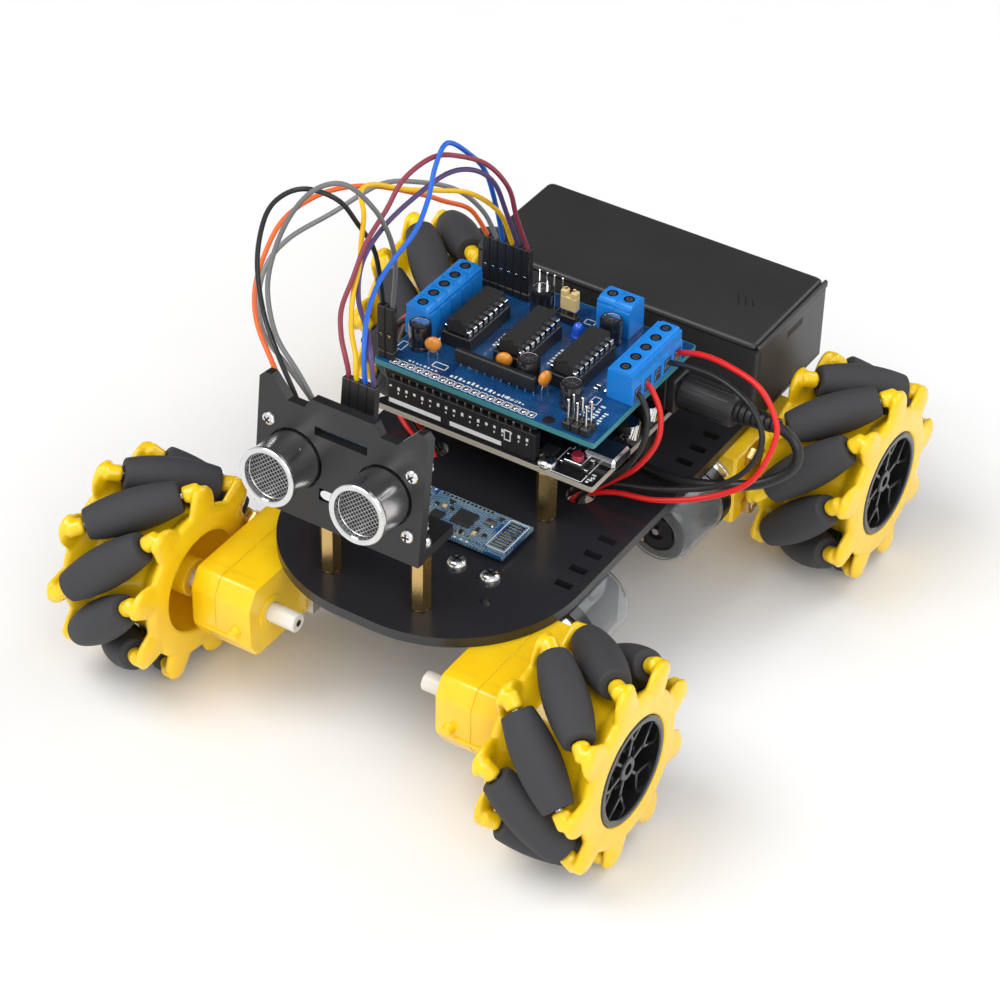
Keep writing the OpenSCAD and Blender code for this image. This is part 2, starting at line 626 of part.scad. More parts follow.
// Motor leads on the left side, from the terminals down through the deck to the motors
lead_routes = [
    [[33, 9, 79], [36, 8, 78], [39, 6, 74], [39, 4, 67], [36, 2, 60], [31, 1, 54],
     [25, 0, 48], [22, 0, 42], [24, -4, 34], [30, -9, 31], [33, -12.5, 30], [33.4, -14.7, 30]],
    [[33, 14, 79], [36, 13, 78], [40, 11, 73], [41, 8, 66], [37, 5, 58], [31, 4, 52],
     [25, 2, 47], [20, 0, 42], [20, -6, 32], [27, -10, 26], [32, -12.3, 26], [33.4, -14.7, 26]],
    [[33, 25, 79], [42, 24, 81], [52, 22, 82], [62, 19, 80], [67, 17, 74], [67, 15, 68],
     [63, 13, 61], [55, 11, 55], [42, 8, 51], [31, 5, 50], [25, 4, 47], [22, 3, 42],
     [23, 7, 34], [30, 11, 31], [33, 12.5, 30], [33.4, 14.7, 30]],
    [[33, 30, 79], [42, 28, 83], [52, 25, 85], [63, 22, 84], [70, 19, 77], [70, 16, 69],
     [66, 13, 60], [56, 10, 53], [43, 6, 49], [32, 4, 48], [26, 3, 46], [20, 3, 42],
     [20, 8, 32], [27, 11, 26], [32, 12.3, 26], [33.4, 14.7, 26]]];
power_route = [[65, 30, 67.8], [70, 29.5, 66], [72.5, 28.5, 62], [71, 27, 57], [64, 24, 52],
               [54, 21, 49], [44, 19.5, 47], [34, 20, 46.2], [24, 23, 46.2], [16, 30, 46.6],
               [12, 36, 47.2], [10, 42, 49], [9.5, 48, 51], [9.5, 52, 52.3], [9.5, 56, 52.5]];

// Motor leads on the right side, written mirrored: they drop close beside the boards
right_routes = [
    [[33, 4, 79], [36, 3, 78], [39, 1, 74], [39, -1, 67], [36, -3, 60], [31, -4, 54],
     [25, -5, 48], [22, -5, 42], [24, -6, 34], [30, -9, 31], [33, -12.5, 30], [33.4, -14.7, 30]],
    [[33, 9, 79], [36, 8, 78], [40, 6, 73], [41, 3, 66], [37, 0, 58], [31, -1, 52],
     [25, -3, 47], [20, -5, 42], [20, -7, 32], [27, -10, 26], [32, -12.3, 26], [33.4, -14.7, 26]],
    [[33, 20, 79], [36, 19.5, 78.5], [39, 17, 75.5], [41, 13, 70], [41, 8, 64], [39, 3, 58],
     [35, 1, 51.5], [30, -0.5, 47.5], [26, -1, 45.7], [22.6, -0.9, 43], [22, -0.6, 41],
     [22, 1, 38], [23, 6, 34], [30, 11, 31], [33, 12.5, 30], [33.4, 14.7, 30]],
    [[33, 25, 79], [36, 24.5, 79], [40.5, 21, 75], [43, 16, 68], [43, 10, 60], [41, 5, 53],
     [37, 2, 47.5], [32, -0.6, 45.5], [27, -3, 45.4], [24, -2.9, 44], [21.5, -2.6, 40],
     [19.5, 1, 36], [20, 7, 31], [27, 11, 26], [32, 12.3, 26], [33.4, 14.7, 26]]];

module power_and_motor_leads() {
    colors = ["black", "red", "black", "red"];
    for (k = [0 : 3]) {
        color(colors[k]) tube(lead_routes[k], lead_d, 3);
        color(colors[k]) mirror([1, 0, 0]) tube(right_routes[k], lead_d, 3);
    }
    color([0.08, 0.08, 0.09]) {
        tube(power_route, power_d, 3);
        translate([0, 30, board_top + 6]) {
            rod_x(2.75, 27, 37);
            rod_x(4.9, 36.4, 53);
            rod_x(3.2, 53, 66);
        }
    }
}

// ---------------------------------------------------------------- assembly

chassis_plate();
motor_brackets();
gearboxes();
motors();
controller_board();
reset_button();
drive_shield();
sensor_bracket();
distance_sensor();
wireless_board();
posts_and_screws();
battery_case();
battery_lid();
battery_cells();
jumper_wires();
power_and_motor_leads();
for (c = CORNERS) {
    at_wheel(c) wheel_frame(c[2]);
    at_wheel(c) wheel_hub(c[2]);
    for (i = [1 : ROLLERS])
        at_wheel(c) roller(i, c[2]);
}
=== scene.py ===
"""Looks of the four wheel robot chassis. Lengths in the making are millimetres; MM turns them into metres."""
import math
import bpy
import bmesh
from mathutils import Matrix, Vector


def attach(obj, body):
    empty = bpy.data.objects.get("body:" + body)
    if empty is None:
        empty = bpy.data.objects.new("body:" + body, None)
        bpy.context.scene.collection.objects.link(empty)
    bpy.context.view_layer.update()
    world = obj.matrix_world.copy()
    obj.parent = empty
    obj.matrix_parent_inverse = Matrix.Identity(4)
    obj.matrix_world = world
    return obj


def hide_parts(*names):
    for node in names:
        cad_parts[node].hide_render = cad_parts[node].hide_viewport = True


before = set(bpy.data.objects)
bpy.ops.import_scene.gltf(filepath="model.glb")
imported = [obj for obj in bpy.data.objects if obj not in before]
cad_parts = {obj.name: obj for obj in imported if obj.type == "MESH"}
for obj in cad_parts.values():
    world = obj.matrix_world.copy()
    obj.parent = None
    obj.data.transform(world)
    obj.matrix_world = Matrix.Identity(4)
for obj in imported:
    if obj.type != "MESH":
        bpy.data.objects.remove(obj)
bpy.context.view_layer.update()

MM = 0.001

# Driving sizes, as in the CAD source
WHEEL_R, TRACK, WHEELBASE, PITCH_R = 30.0, 133.0, 140.0, 24.1
ROLLERS = 9
CORNERS = [("front_left", 1, -1), ("front_right", -1, -1), ("rear_left", 1, 1), ("rear_right", -1, 1)]
DECK, BOARD, SHIELD = 44.25, 61.85, 76.15
BOARD_X, BOARD_FRONT, BOARD_REAR = 34.3, -13.6, 39.7
BOARD_HOLES = [(19.06, -11.06), (20.33, 37.16), (-31.74, 4.14), (-31.74, 32.08)]
POSTS = [(-16, -60.5), (12, -60.5)]
PANEL = (-10, -67, 62.25)
PANEL_LEAN, EYE_H, CAN_GAP = 7.0, 17.5, 27.4
BOX_Y, BOX_Z, BOX_L, BOX_W, BOX_H = 54.7, 46.0, 92.0, 40.0, 25.0
BOLTS = [(s * x, y) for s in (-1, 1) for x in (10.4, 20.7) for y in (-41, 43.7)]


# ---------------------------------------------------------------- camera, floor and light
def set_camera():
    az, el, roll = math.radians(31.771), math.radians(38.24), math.radians(1.29)
    back = Vector((math.sin(az) * math.cos(el), -math.cos(az) * math.cos(el), math.sin(el)))
    cam = bpy.data.objects.new("camera", bpy.data.cameras.new("camera"))
    cam.data.lens, cam.data.sensor_width = 111.12, 36
    turn = (-back).to_track_quat("-Z", "Y").to_matrix() @ Matrix.Rotation(roll, 3, "Z")
    cam.matrix_world = Matrix.LocRotScale(Vector((347.53, -564.69, 556.54)) * MM, turn, None)
    cam.data.clip_start, cam.data.clip_end = 0.01, 20
    bpy.context.scene.collection.objects.link(cam)
    bpy.context.scene.camera = cam


def area_light(name, place, size, power, colour=(1, 1, 1)):
    light = bpy.data.objects.new(name, bpy.data.lights.new(name, "AREA"))
    light.data.shape, light.data.size, light.data.energy, light.data.color = "DISK", size, power, colour
    light.location = place
    light.rotation_euler = (Vector((0, 0, 0.04)) - Vector(place)).to_track_quat("-Z", "Y").to_euler()
    bpy.context.scene.collection.objects.link(light)


def set_stage():
    bpy.context.scene.view_settings.view_transform = "Standard"
    bpy.ops.mesh.primitive_plane_add(size=6, location=(0, 0, -0.0002))
    floor = bpy.context.object
    floor.name = "floor"
    floor.data.materials.append(material("floor_white", (0.93, 0.93, 0.93), 0.75, vary=0.01, grain=8, bump=0))
    area_light("key_light", (-0.5, -0.5, 1.3), 1.0, 10)
    area_light("fill_light", (0.9, -0.7, 0.9), 0.9, 5)
    area_light("rear_light", (0.5, 1.0, 0.9), 0.7, 4)
    world = bpy.data.worlds.new("studio")
    bpy.context.scene.world = world
    world.use_nodes = True
    nt = world.node_tree
    coord = nt.nodes.new("ShaderNodeTexCoord")
    dot = nt.nodes.new("ShaderNodeVectorMath")
    dot.operation = "DOT_PRODUCT"
    dot.inputs[1].default_value = (-0.41, 0.67, 0.62)
    ramp = nt.nodes.new("ShaderNodeValToRGB")
    ramp.color_ramp.elements[0].position, ramp.color_ramp.elements[0].color = 0.45, (1, 1, 1, 1)
    ramp.color_ramp.elements[1].position, ramp.color_ramp.elements[1].color = 0.86, (0.05, 0.05, 0.055, 1)
    nt.links.new(coord.outputs["Generated"], dot.inputs[0])
    nt.links.new(dot.outputs["Value"], ramp.inputs["Fac"])
    nt.links.new(ramp.outputs["Color"], nt.nodes["Background"].inputs["Color"])
    nt.nodes["Background"].inputs["Strength"].default_value = 0.85


# ---------------------------------------------------------------- materials
def node(nt, kind, **values):
    made = nt.nodes.new(kind)
    for key, value in values.items():
        if hasattr(made, key):
            setattr(made, key, value)
        else:
            made.inputs[key.replace("_", " ")].default_value = value
    return made


def material(name, colour, rough=0.5, metal=0.0, vary=0.08, grain=500.0, bump=0.03, coat=0.0,
             stretch=(1, 1, 1), sss=0.0, clear=0.0, tint=None, shine=0.5):
    """A Principled material: noise varies its colour and roughness and raises a fine bump."""
    if name in bpy.data.materials:
        return bpy.data.materials[name]
    mat = bpy.data.materials.new(name)
    mat.use_nodes = True
    nt = mat.node_tree
    shader = nt.nodes["Principled BSDF"]
    coord = node(nt, "ShaderNodeTexCoord")
    mapping = node(nt, "ShaderNodeMapping", Scale=tuple(grain * s for s in stretch))
    fine = node(nt, "ShaderNodeTexNoise", Scale=1.0, Detail=4.0)
    broad = node(nt, "ShaderNodeTexNoise", Scale=45.0, Detail=2.0)
    nt.links.new(coord.outputs["Object"], mapping.inputs["Vector"])
    nt.links.new(mapping.outputs["Vector"], fine.inputs["Vector"])
    nt.links.new(coord.outputs["Object"], broad.inputs["Vector"])
    both = node(nt, "ShaderNodeMath", operation="ADD")
    nt.links.new(fine.outputs["Fac"], both.inputs[0])
    nt.links.new(broad.outputs["Fac"], both.inputs[1])
    ramp = node(nt, "ShaderNodeValToRGB")
    low = [c * (1 - vary) for c in colour]
    high = [min(1.0, c * (1 + vary)) for c in (tint or colour)]
    ramp.color_ramp.elements[0].position, ramp.color_ramp.elements[0].color = 0.3, (*low, 1)
    ramp.color_ramp.elements[1].position, ramp.color_ramp.elements[1].color = 0.75, (*high, 1)
    half = node(nt, "ShaderNodeMath", operation="MULTIPLY")
    half.inputs[1].default_value = 0.5
    nt.links.new(both.outputs[0], half.inputs[0])
    nt.links.new(half.outputs[0], ramp.inputs["Fac"])
    nt.links.new(ramp.outputs["Color"], shader.inputs["Base Color"])
    spread = node(nt, "ShaderNodeMapRange")
    spread.inputs["To Min"].default_value = max(0.02, rough - 0.06)
    spread.inputs["To Max"].default_value = min(1.0, rough + 0.06)
    nt.links.new(broad.outputs["Fac"], spread.inputs["Value"])
    nt.links.new(spread.outputs["Result"], shader.inputs["Roughness"])
    shader.inputs["Metallic"].default_value = metal
    shader.inputs["Specular IOR Level"].default_value = shine
    shader.inputs["Coat Weight"].default_value = coat
    shader.inputs["Coat Roughness"].default_value = 0.05
    if sss:
        shader.inputs["Subsurface Weight"].default_value = sss
        shader.inputs["Subsurface Radius"].default_value = (0.002, 0.0012, 0.0004)
        shader.inputs["Subsurface Scale"].default_value = 1.0
    if clear:
        shader.inputs["Transmission Weight"].default_value = clear
        shader.inputs["IOR"].default_value = 1.3
    if bump:
        lift = node(nt, "ShaderNodeBump", Strength=bump, Distance=0.0004)
        nt.links.new(fine.outputs["Fac"], lift.inputs["Height"])
        nt.links.new(lift.outputs["Normal"], shader.inputs["Normal"])
    return mat


def board_material(name, dark, light, pitch, share):
    """Solder mask with fine copper traces: two sets of narrow bands shown in patches."""
    mat = material(name, dark, 0.3, vary=0.15, grain=250, bump=0.02, coat=0.3)
    nt = mat.node_tree
    shader = nt.nodes["Principled BSDF"]
    base = shader.inputs["Base Color"].links[0].from_socket
    coord = node(nt, "ShaderNodeTexCoord")
    total = None
    for turn, seed in ((0.0, 0.0), (math.pi / 2, 3.0), (math.pi / 4, 7.0)):
        mapping = node(nt, "ShaderNodeMapping", Rotation=(0, 0, turn), Location=(seed, seed, 0))
        bands = node(nt, "ShaderNodeTexWave", wave_type="BANDS", bands_direction="X",
                     Scale=1000 / pitch / 3.14, Distortion=0.0)
        patch = node(nt, "ShaderNodeTexNoise", Scale=160.0, Detail=0.0)
        thin = node(nt, "ShaderNodeMath", operation="GREATER_THAN")
        thin.inputs[1].default_value = 0.62
        here = node(nt, "ShaderNodeMath", operation="GREATER_THAN")
        here.inputs[1].default_value = share
        product = node(nt, "ShaderNodeMath", operation="MULTIPLY")
        nt.links.new(coord.outputs["Object"], mapping.inputs["Vector"])
        nt.links.new(mapping.outputs["Vector"], bands.inputs["Vector"])
        nt.links.new(mapping.outputs["Vector"], patch.inputs["Vector"])
        nt.links.new(bands.outputs["Fac"], thin.inputs[0])
        nt.links.new(patch.outputs["Fac"], here.inputs[0])
        nt.links.new(thin.outputs[0], product.inputs[0])
        nt.links.new(here.outputs[0], product.inputs[1])
        if total is None:
            total = product
        else:
            most = node(nt, "ShaderNodeMath", operation="MAXIMUM")
            nt.links.new(total.outputs[0], most.inputs[0])
            nt.links.new(product.outputs[0], most.inputs[1])
            total = most
    mix = node(nt, "ShaderNodeMix", data_type="RGBA")
    mix.inputs[7].default_value = (*light, 1)
    nt.links.new(total.outputs[0], mix.inputs[0])
    nt.links.new(base, mix.inputs[6])
    nt.links.new(mix.outputs[2], shader.inputs["Base Color"])
    return mat


def gauze_material():
    """Woven wire: bright wires in two directions over dark holes."""
    mat = material("sensor_gauze", (0.5, 0.5, 0.5), 0.35, metal=0.9, vary=0.1, grain=900, bump=0.0)
    nt = mat.node_tree
    shader = nt.nodes["Principled BSDF"]
    coord = node(nt, "ShaderNodeTexCoord")
    mapping = node(nt, "ShaderNodeMapping", Rotation=(0, math.radians(40), 0))
    nt.links.new(coord.outputs["Object"], mapping.inputs["Vector"])
    total = None
    for way in ("X", "Z"):
        bands = node(nt, "ShaderNodeTexWave", wave_type="BANDS", bands_direction=way, Scale=330.0,
                     Distortion=0.0)
        nt.links.new(mapping.outputs["Vector"], bands.inputs["Vector"])
        if total is None:
            total = bands.outputs["Fac"]
        else:
            most = node(nt, "ShaderNodeMath", operation="MAXIMUM")
            nt.links.new(total, most.inputs[0])
            nt.links.new(bands.outputs["Fac"], most.inputs[1])
            total = most.outputs[0]
    ramp = node(nt, "ShaderNodeValToRGB")
    ramp.color_ramp.elements[0].position, ramp.color_ramp.elements[0].color = 0.72, (0.012, 0.012, 0.012, 1)
    ramp.color_ramp.elements[1].position, ramp.color_ramp.elements[1].color = 0.97, (0.33, 0.33, 0.33, 1)
    lift = node(nt, "ShaderNodeBump", Strength=0.6, Distance=0.0003)
    nt.links.new(total, ramp.inputs["Fac"])
    nt.links.new(ramp.outputs["Color"], shader.inputs["Base Color"])
    nt.links.new(total, lift.inputs["Height"])
    nt.links.new(lift.outputs["Normal"], shader.inputs["Normal"])
    return mat


YELLOW = material("yellow_moulding", (1.0, 0.60, 0.004), 0.26, vary=0.03, grain=180, bump=0.015, coat=0.35,
                  sss=0.12, tint=(1.0, 0.66, 0.01))
HUB_BLACK = material("black_gloss_moulding", (0.012, 0.012, 0.013), 0.22, grain=300, bump=0.03, coat=0.4)
RUBBER = material("roller_rubber", (0.0095, 0.0095, 0.0105), 0.5, vary=0.2, grain=1300, bump=0.08,
                  shine=0.22)
ACRYLIC = material("black_acrylic", (0.004, 0.004, 0.005), 0.05, vary=0.3, grain=60, bump=0.0, shine=0.4)
ALUMINIUM = material("brushed_aluminium", (0.62, 0.63, 0.65), 0.32, metal=1, grain=900, bump=0.06,
                     stretch=(1, 8, 1))
CAN_METAL = material("spun_aluminium", (0.72, 0.72, 0.73), 0.26, metal=1, grain=700, bump=0.05,
                     stretch=(0.2, 6, 0.2))
STEEL = material("plated_steel", (0.66, 0.66, 0.67), 0.24, metal=1, grain=900, bump=0.04)
NICKEL = material("bright_nickel", (0.8, 0.8, 0.8), 0.15, metal=1, grain=900, bump=0.02)
BRASS = material("turned_brass", (0.62, 0.42, 0.17), 0.26, metal=1, grain=900, bump=0.06, stretch=(1, 1, 8))
BLACK = material("black_plastic", (0.013, 0.013, 0.014), 0.42, vary=0.2, grain=900, bump=0.06)
CHIP = material("chip_black", (0.022, 0.022, 0.023), 0.5, vary=0.2, grain=1500, bump=0.1)
SATIN = material("satin_black_sheet", (0.014, 0.014, 0.015), 0.33, vary=0.25, grain=1200, bump=0.05)
CASE = material("case_black", (0.03, 0.03, 0.031), 0.4, vary=0.12, grain=2200, bump=0.07)
# Painted shade: this near-black stands in for the shade inside holes, slots, recesses and mouths; it also
# serves for real dark seams and printed marks
PAINTED_SHADE_AND_MARKS = material("painted_shade_and_dark_marks", (0.004, 0.004, 0.004), 0.6, vary=0.2, grain=800, bump=0.02)
SHIELD_BLUE = board_material("shield_mask", (0.003, 0.035, 0.13), (0.006, 0.08, 0.24), 0.9, 0.5)
SHIELD_EDGE = material("board_edge_teal", (0.05, 0.24, 0.27), 0.45, grain=900, bump=0.05)
MASK_BLACK = board_material("controller_mask", (0.006, 0.006, 0.007), (0.013, 0.013, 0.014), 1.0, 0.55)
EDGE_PALE = material("board_edge_pale", (0.42, 0.38, 0.32), 0.5, grain=900, bump=0.05)
RADIO_BLUE = board_material("radio_mask", (0.01, 0.07, 0.2), (0.2, 0.3, 0.36), 0.75, 0.46)
TERMINAL = material("terminal_blue", (0.012, 0.23, 0.72), 0.33, vary=0.06, grain=400, bump=0.03, sss=0.05)
WHITE = material("print_white", (0.8, 0.82, 0.82), 0.5, vary=0.05, grain=900, bump=0.02)
SHAFT_WHITE = material("shaft_white", (0.78, 0.76, 0.7), 0.35, vary=0.04, grain=400, bump=0.02, sss=0.1)
CREAM = material("jumper_cream", (0.72, 0.55, 0.25), 0.4, vary=0.06, grain=500, bump=0.02)
ORANGE = material("disc_orange", (0.75, 0.27, 0.025), 0.25, vary=0.08, grain=500, bump=0.03, coat=0.4)
SLEEVE = material("capacitor_sleeve", (0.012, 0.013, 0.016), 0.2, vary=0.2, grain=500, bump=0.02, coat=0.5)
LED_BLUE = material("led_blue", (0.02, 0.12, 0.75), 0.15, vary=0.1, grain=500, bump=0.0, coat=0.6)
RED = material("button_red", (0.42, 0.02, 0.05), 0.35, vary=0.08, grain=600, bump=0.03)
CLEAR = material("clear_cover", (0.8, 0.82, 0.84), 0.08, vary=0.03, grain=300, bump=0.01, clear=0.92)
STRAP = material("strap_black", (0.01, 0.01, 0.011), 0.25, vary=0.1, grain=400, bump=0.02)
CELL = material("cell_wrap", (0.02, 0.13, 0.42), 0.3, vary=0.05, grain=300, bump=0.01)
GAUZE = gauze_material()
DARK_BLUE = material("terminal_shade", (0.004, 0.06, 0.22), 0.5, grain=500, bump=0.03)
STEEL_DIM = material("screw_in_shade", (0.25, 0.26, 0.28), 0.4, metal=0.9, grain=700, bump=0.05)
PALE_BAND = material("sleeve_band", (0.35, 0.36, 0.4), 0.3, vary=0.15, grain=900, bump=0.02, coat=0.4)


# ---------------------------------------------------------------- mesh building
class Piece:
    """One mesh object in the making, in millimetres, with a material on each face."""

    def __init__(self):
        self.verts, self.faces, self.slots, self.materials = [], [], [], []
        self.at = Matrix.Identity(4)

    def add(self, verts, faces, mat):
        first = len(self.verts)
        self.verts += [tuple(self.at @ Vector(v)) for v in verts]
        self.faces += [[first + k for k in f] for f in faces]
        if mat not in self.materials:
            self.materials.append(mat)
        self.slots += [self.materials.index(mat)] * len(faces)

    def box(self, lo, hi, mat, c=0.15):
        """A block with chamfered edges, between two corners."""
        c = min(c, *[0.45 * (b - a) for a, b in zip(lo, hi)])
        mid = [(a + b) / 2 for a, b in zip(lo, hi)]
        half = [(b - a) / 2 for a, b in zip(lo, hi)]
        verts, index = [], {}
        for sx in (-1, 1):
            for sy in (-1, 1):
                for sz in (-1, 1):
                    for k in range(3):
                        s = (sx, sy, sz)
                        index[s, k] = len(verts)
                        verts.append([mid[j] + s[j] * (half[j] - (0 if j == k else c)) for j in range(3)])
        faces = []
        for k in range(3):
            i, j = (k + 1) % 3, (k + 2) % 3
            for s in (-1, 1):
                ring = []
                for a, b in ((-1, -1), (1, -1), (1, 1), (-1, 1)):
                    t = [0, 0, 0]
                    t[k], t[i], t[j] = s, a, b
                    ring.append(index[tuple(t), k])
                faces.append(ring)
            for a in (-1, 1):
                for b in (-1, 1):
                    t, u = [0, 0, 0], [0, 0, 0]
                    t[k], u[k] = -1, 1
                    t[i] = u[i] = a
                    t[j] = u[j] = b
                    t, u = tuple(t), tuple(u)
                    faces.append([index[t, i], index[u, i], index[u, j], index[t, j]])
        for corner in {key[0] for key in index}:
            faces.append([index[corner, k] for k in range(3)])
        self.add(verts, faces, mat)

    def turned(self, profile, mat, sides=32, start=0.0, sweep=360.0):
        """A solid of revolution about local Z from [radius, height] points."""
        n = len(profile)
        whole = sweep >= 360
        steps = sides if whole else sides + 1
        verts = []
        for k in range(steps):
            a = math.radians(start + sweep * k / sides)
            verts += [(r * math.cos(a), r * math.sin(a), z) for r, z in profile]
        faces = []
        for k in range(sides):
            p, q = k * n, ((k + 1) % steps) * n
            for i in range(n - 1):
                if profile[i][0] < 1e-6 and profile[i + 1][0] < 1e-6:
                    continue
                faces.append([p + i, q + i, q + i + 1, p + i + 1])
        self.add(verts, faces, mat)

    def rod(self, r, z0, z1, mat, c=0.15, sides=32, bore=0.0):
        """A cylinder along local Z with chamfered ends, and a bore if it has one."""
        c = min(c, r * 0.4, (z1 - z0) * 0.4)
        inner = bore if bore else 0.0
        profile = [(inner, z0), (r - c, z0), (r, z0 + c), (r, z1 - c), (r - c, z1), (inner, z1)]
        self.turned(profile + ([(inner, z0)] if bore else []), mat, sides)

    def prism(self, outline, z0, z1, mat, c=0.0):
        """An outline in X and Y raised from z0 to z1, with a chamfered upper edge."""
        n = len(outline)
        cx = sum(p[0] for p in outline) / n
        cy = sum(p[1] for p in outline) / n
        reach = max(math.hypot(p[0] - cx, p[1] - cy) for p in outline)
        inset = [(cx + (x - cx) * (1 - c / reach), cy + (y - cy) * (1 - c / reach)) for x, y in outline]
        rows = [[(*p, z0) for p in outline], [(*p, z1 - c) for p in outline]]
        if c:
            rows.append([(*p, z1) for p in inset])
        verts = [v for row in rows for v in row]
        faces = [list(range(n))[::-1], [len(verts) - n + k for k in range(n)]]
        for i in range(len(rows) - 1):
            faces += [[i * n + k, i * n + (k + 1) % n, (i + 1) * n + (k + 1) % n, (i + 1) * n + k]
                      for k in range(n)]
        self.add(verts, faces, mat)

    def ball(self, centre, radii, mat, sides=16):
        """A whole ellipsoid."""
        hold = self.at
        self.at = hold @ Matrix.Translation(centre) @ Matrix.Diagonal((*radii, 1))
        steps = [math.pi * k / 10 for k in range(11)]
        self.turned([(math.sin(a), -math.cos(a)) for a in steps], mat, sides)
        self.at = hold

    def tube(self, path, r, mat, sides=10):
        """A round tube through points; r is one radius or one for each point."""
        radii = r if isinstance(r, list) else [r] * len(path)
        path = [Vector(p) for p in path]
        side = Vector((1, 0.2, 0.1))
        verts = []
        for i, p in enumerate(path):
            ahead = (path[min(i + 1, len(path) - 1)] - path[max(i - 1, 0)]).normalized()
            side = (side - side.dot(ahead) * ahead).normalized()
            up = ahead.cross(side)
            for k in range(sides):
                a = 2 * math.pi * k / sides
                verts.append(p + radii[i] * (side * math.cos(a) + up * math.sin(a)))
        faces = [list(range(sides))[::-1], [len(verts) - sides + k for k in range(sides)]]
        for i in range(len(path) - 1):
            faces += [[i * sides + k, i * sides + (k + 1) % sides, (i + 1) * sides + (k + 1) % sides,
                       (i + 1) * sides + k] for k in range(sides)]
        self.add(verts, faces, mat)

    def screw(self, x, y, z, r=2.8, mat=None, turn=20.0):
        """A domed pan head with a cross recess drawn as dark slabs of painted shade, standing on z."""
        hold = self.at
        mat = mat or NICKEL
        self.at = hold @ Matrix.Translation((x, y, z)) @ Matrix.Rotation(math.radians(turn), 4, "Z")
        h = 0.72 * r
        dome = [(r, 0), (r, 0.3 * h)] + [(r * math.cos(a), (0.3 + 0.7 * math.sin(a)) * h)
                                         for a in (0.35, 0.7, 1.0, 1.25)]
        self.turned([(0, 0)] + dome + [(0, 0.98 * h)], mat, 24)
        for a in (0, 1):
            self.at = self.at @ Matrix.Rotation(math.pi / 2 * a, 4, "Z")
            self.box((-0.55 * r, -0.13 * r, 0.8 * h), (0.55 * r, 0.13 * r, h + 0.03), PAINTED_SHADE_AND_MARKS, 0.01)
        self.at = hold

    def mesh(self, name):
        """The mesh in metres, with shared corners joined and its faces turned outwards."""
        mesh = bpy.data.meshes.new(name)
        mesh.from_pydata([Vector(v) * MM for v in self.verts], [], self.faces)
        for m in self.materials:
            mesh.materials.append(m)
        mesh.polygons.foreach_set("material_index", self.slots)
        bm = bmesh.new()
        bm.from_mesh(mesh)
        bmesh.ops.remove_doubles(bm, verts=bm.verts, dist=1e-7)
        bmesh.ops.recalc_face_normals(bm, faces=bm.faces)
        bm.to_mesh(mesh)
        bm.free()
        return mesh

    def make(self, name, body, *nodes, slot=None):
        return place(name, self.mesh(name), body, *nodes, slot=slot)


def place(name, mesh, body, *nodes, slot=None, angle=35.0):
    """A finished mesh as a piece that rides on a body and stands for CAD nodes."""
    mesh.polygons.foreach_set("use_smooth", [True] * len(mesh.polygons))
    mesh.set_sharp_from_angle(angle=math.radians(angle))
    made = bpy.data.objects.new(name, mesh)
    bpy.context.scene.collection.objects.link(made)
    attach(made, body)
    if nodes:
        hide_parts(*nodes)
    return made


def along(axis, centre):
    """Frame at a place with its local Z along the row's X or Y axis."""
    turn = {"X": Matrix.Rotation(math.pi / 2, 4, "Y"), "Y": Matrix.Rotation(-math.pi / 2, 4, "X"),
            "-X": Matrix.Rotation(-math.pi / 2, 4, "Y"), "-Y": Matrix.Rotation(math.pi / 2, 4, "X")}[axis]
    return Matrix.Translation(centre) @ turn


def spline(points, steps):
    """The same smooth route through points as the CAD source sweeps."""
    n, route = len(points) - 1, []
    for i in range(n):
        a, b, c, d = (Vector(points[k]) for k in (max(i - 1, 0), i, i + 1, min(i + 2, n)))
        for k in range(steps):
            t = k / steps
            route.append(0.5 * (2 * b + (c - a) * t + (2 * a - 5 * b + 4 * c - d) * t * t
                                + (3 * b - a - 3 * c + d) * t * t * t))
    return route + [Vector(points[n])]


def cord(name, points, d, mat, replaced):
    """A round wire along a route in millimetres."""
    route = spline(points, 6)
    wire = Piece()
    wire.tube(route, d / 2, mat, 12)
    made = wire.make(name, "chassis", replaced, slot="wire_plastic")
    return made


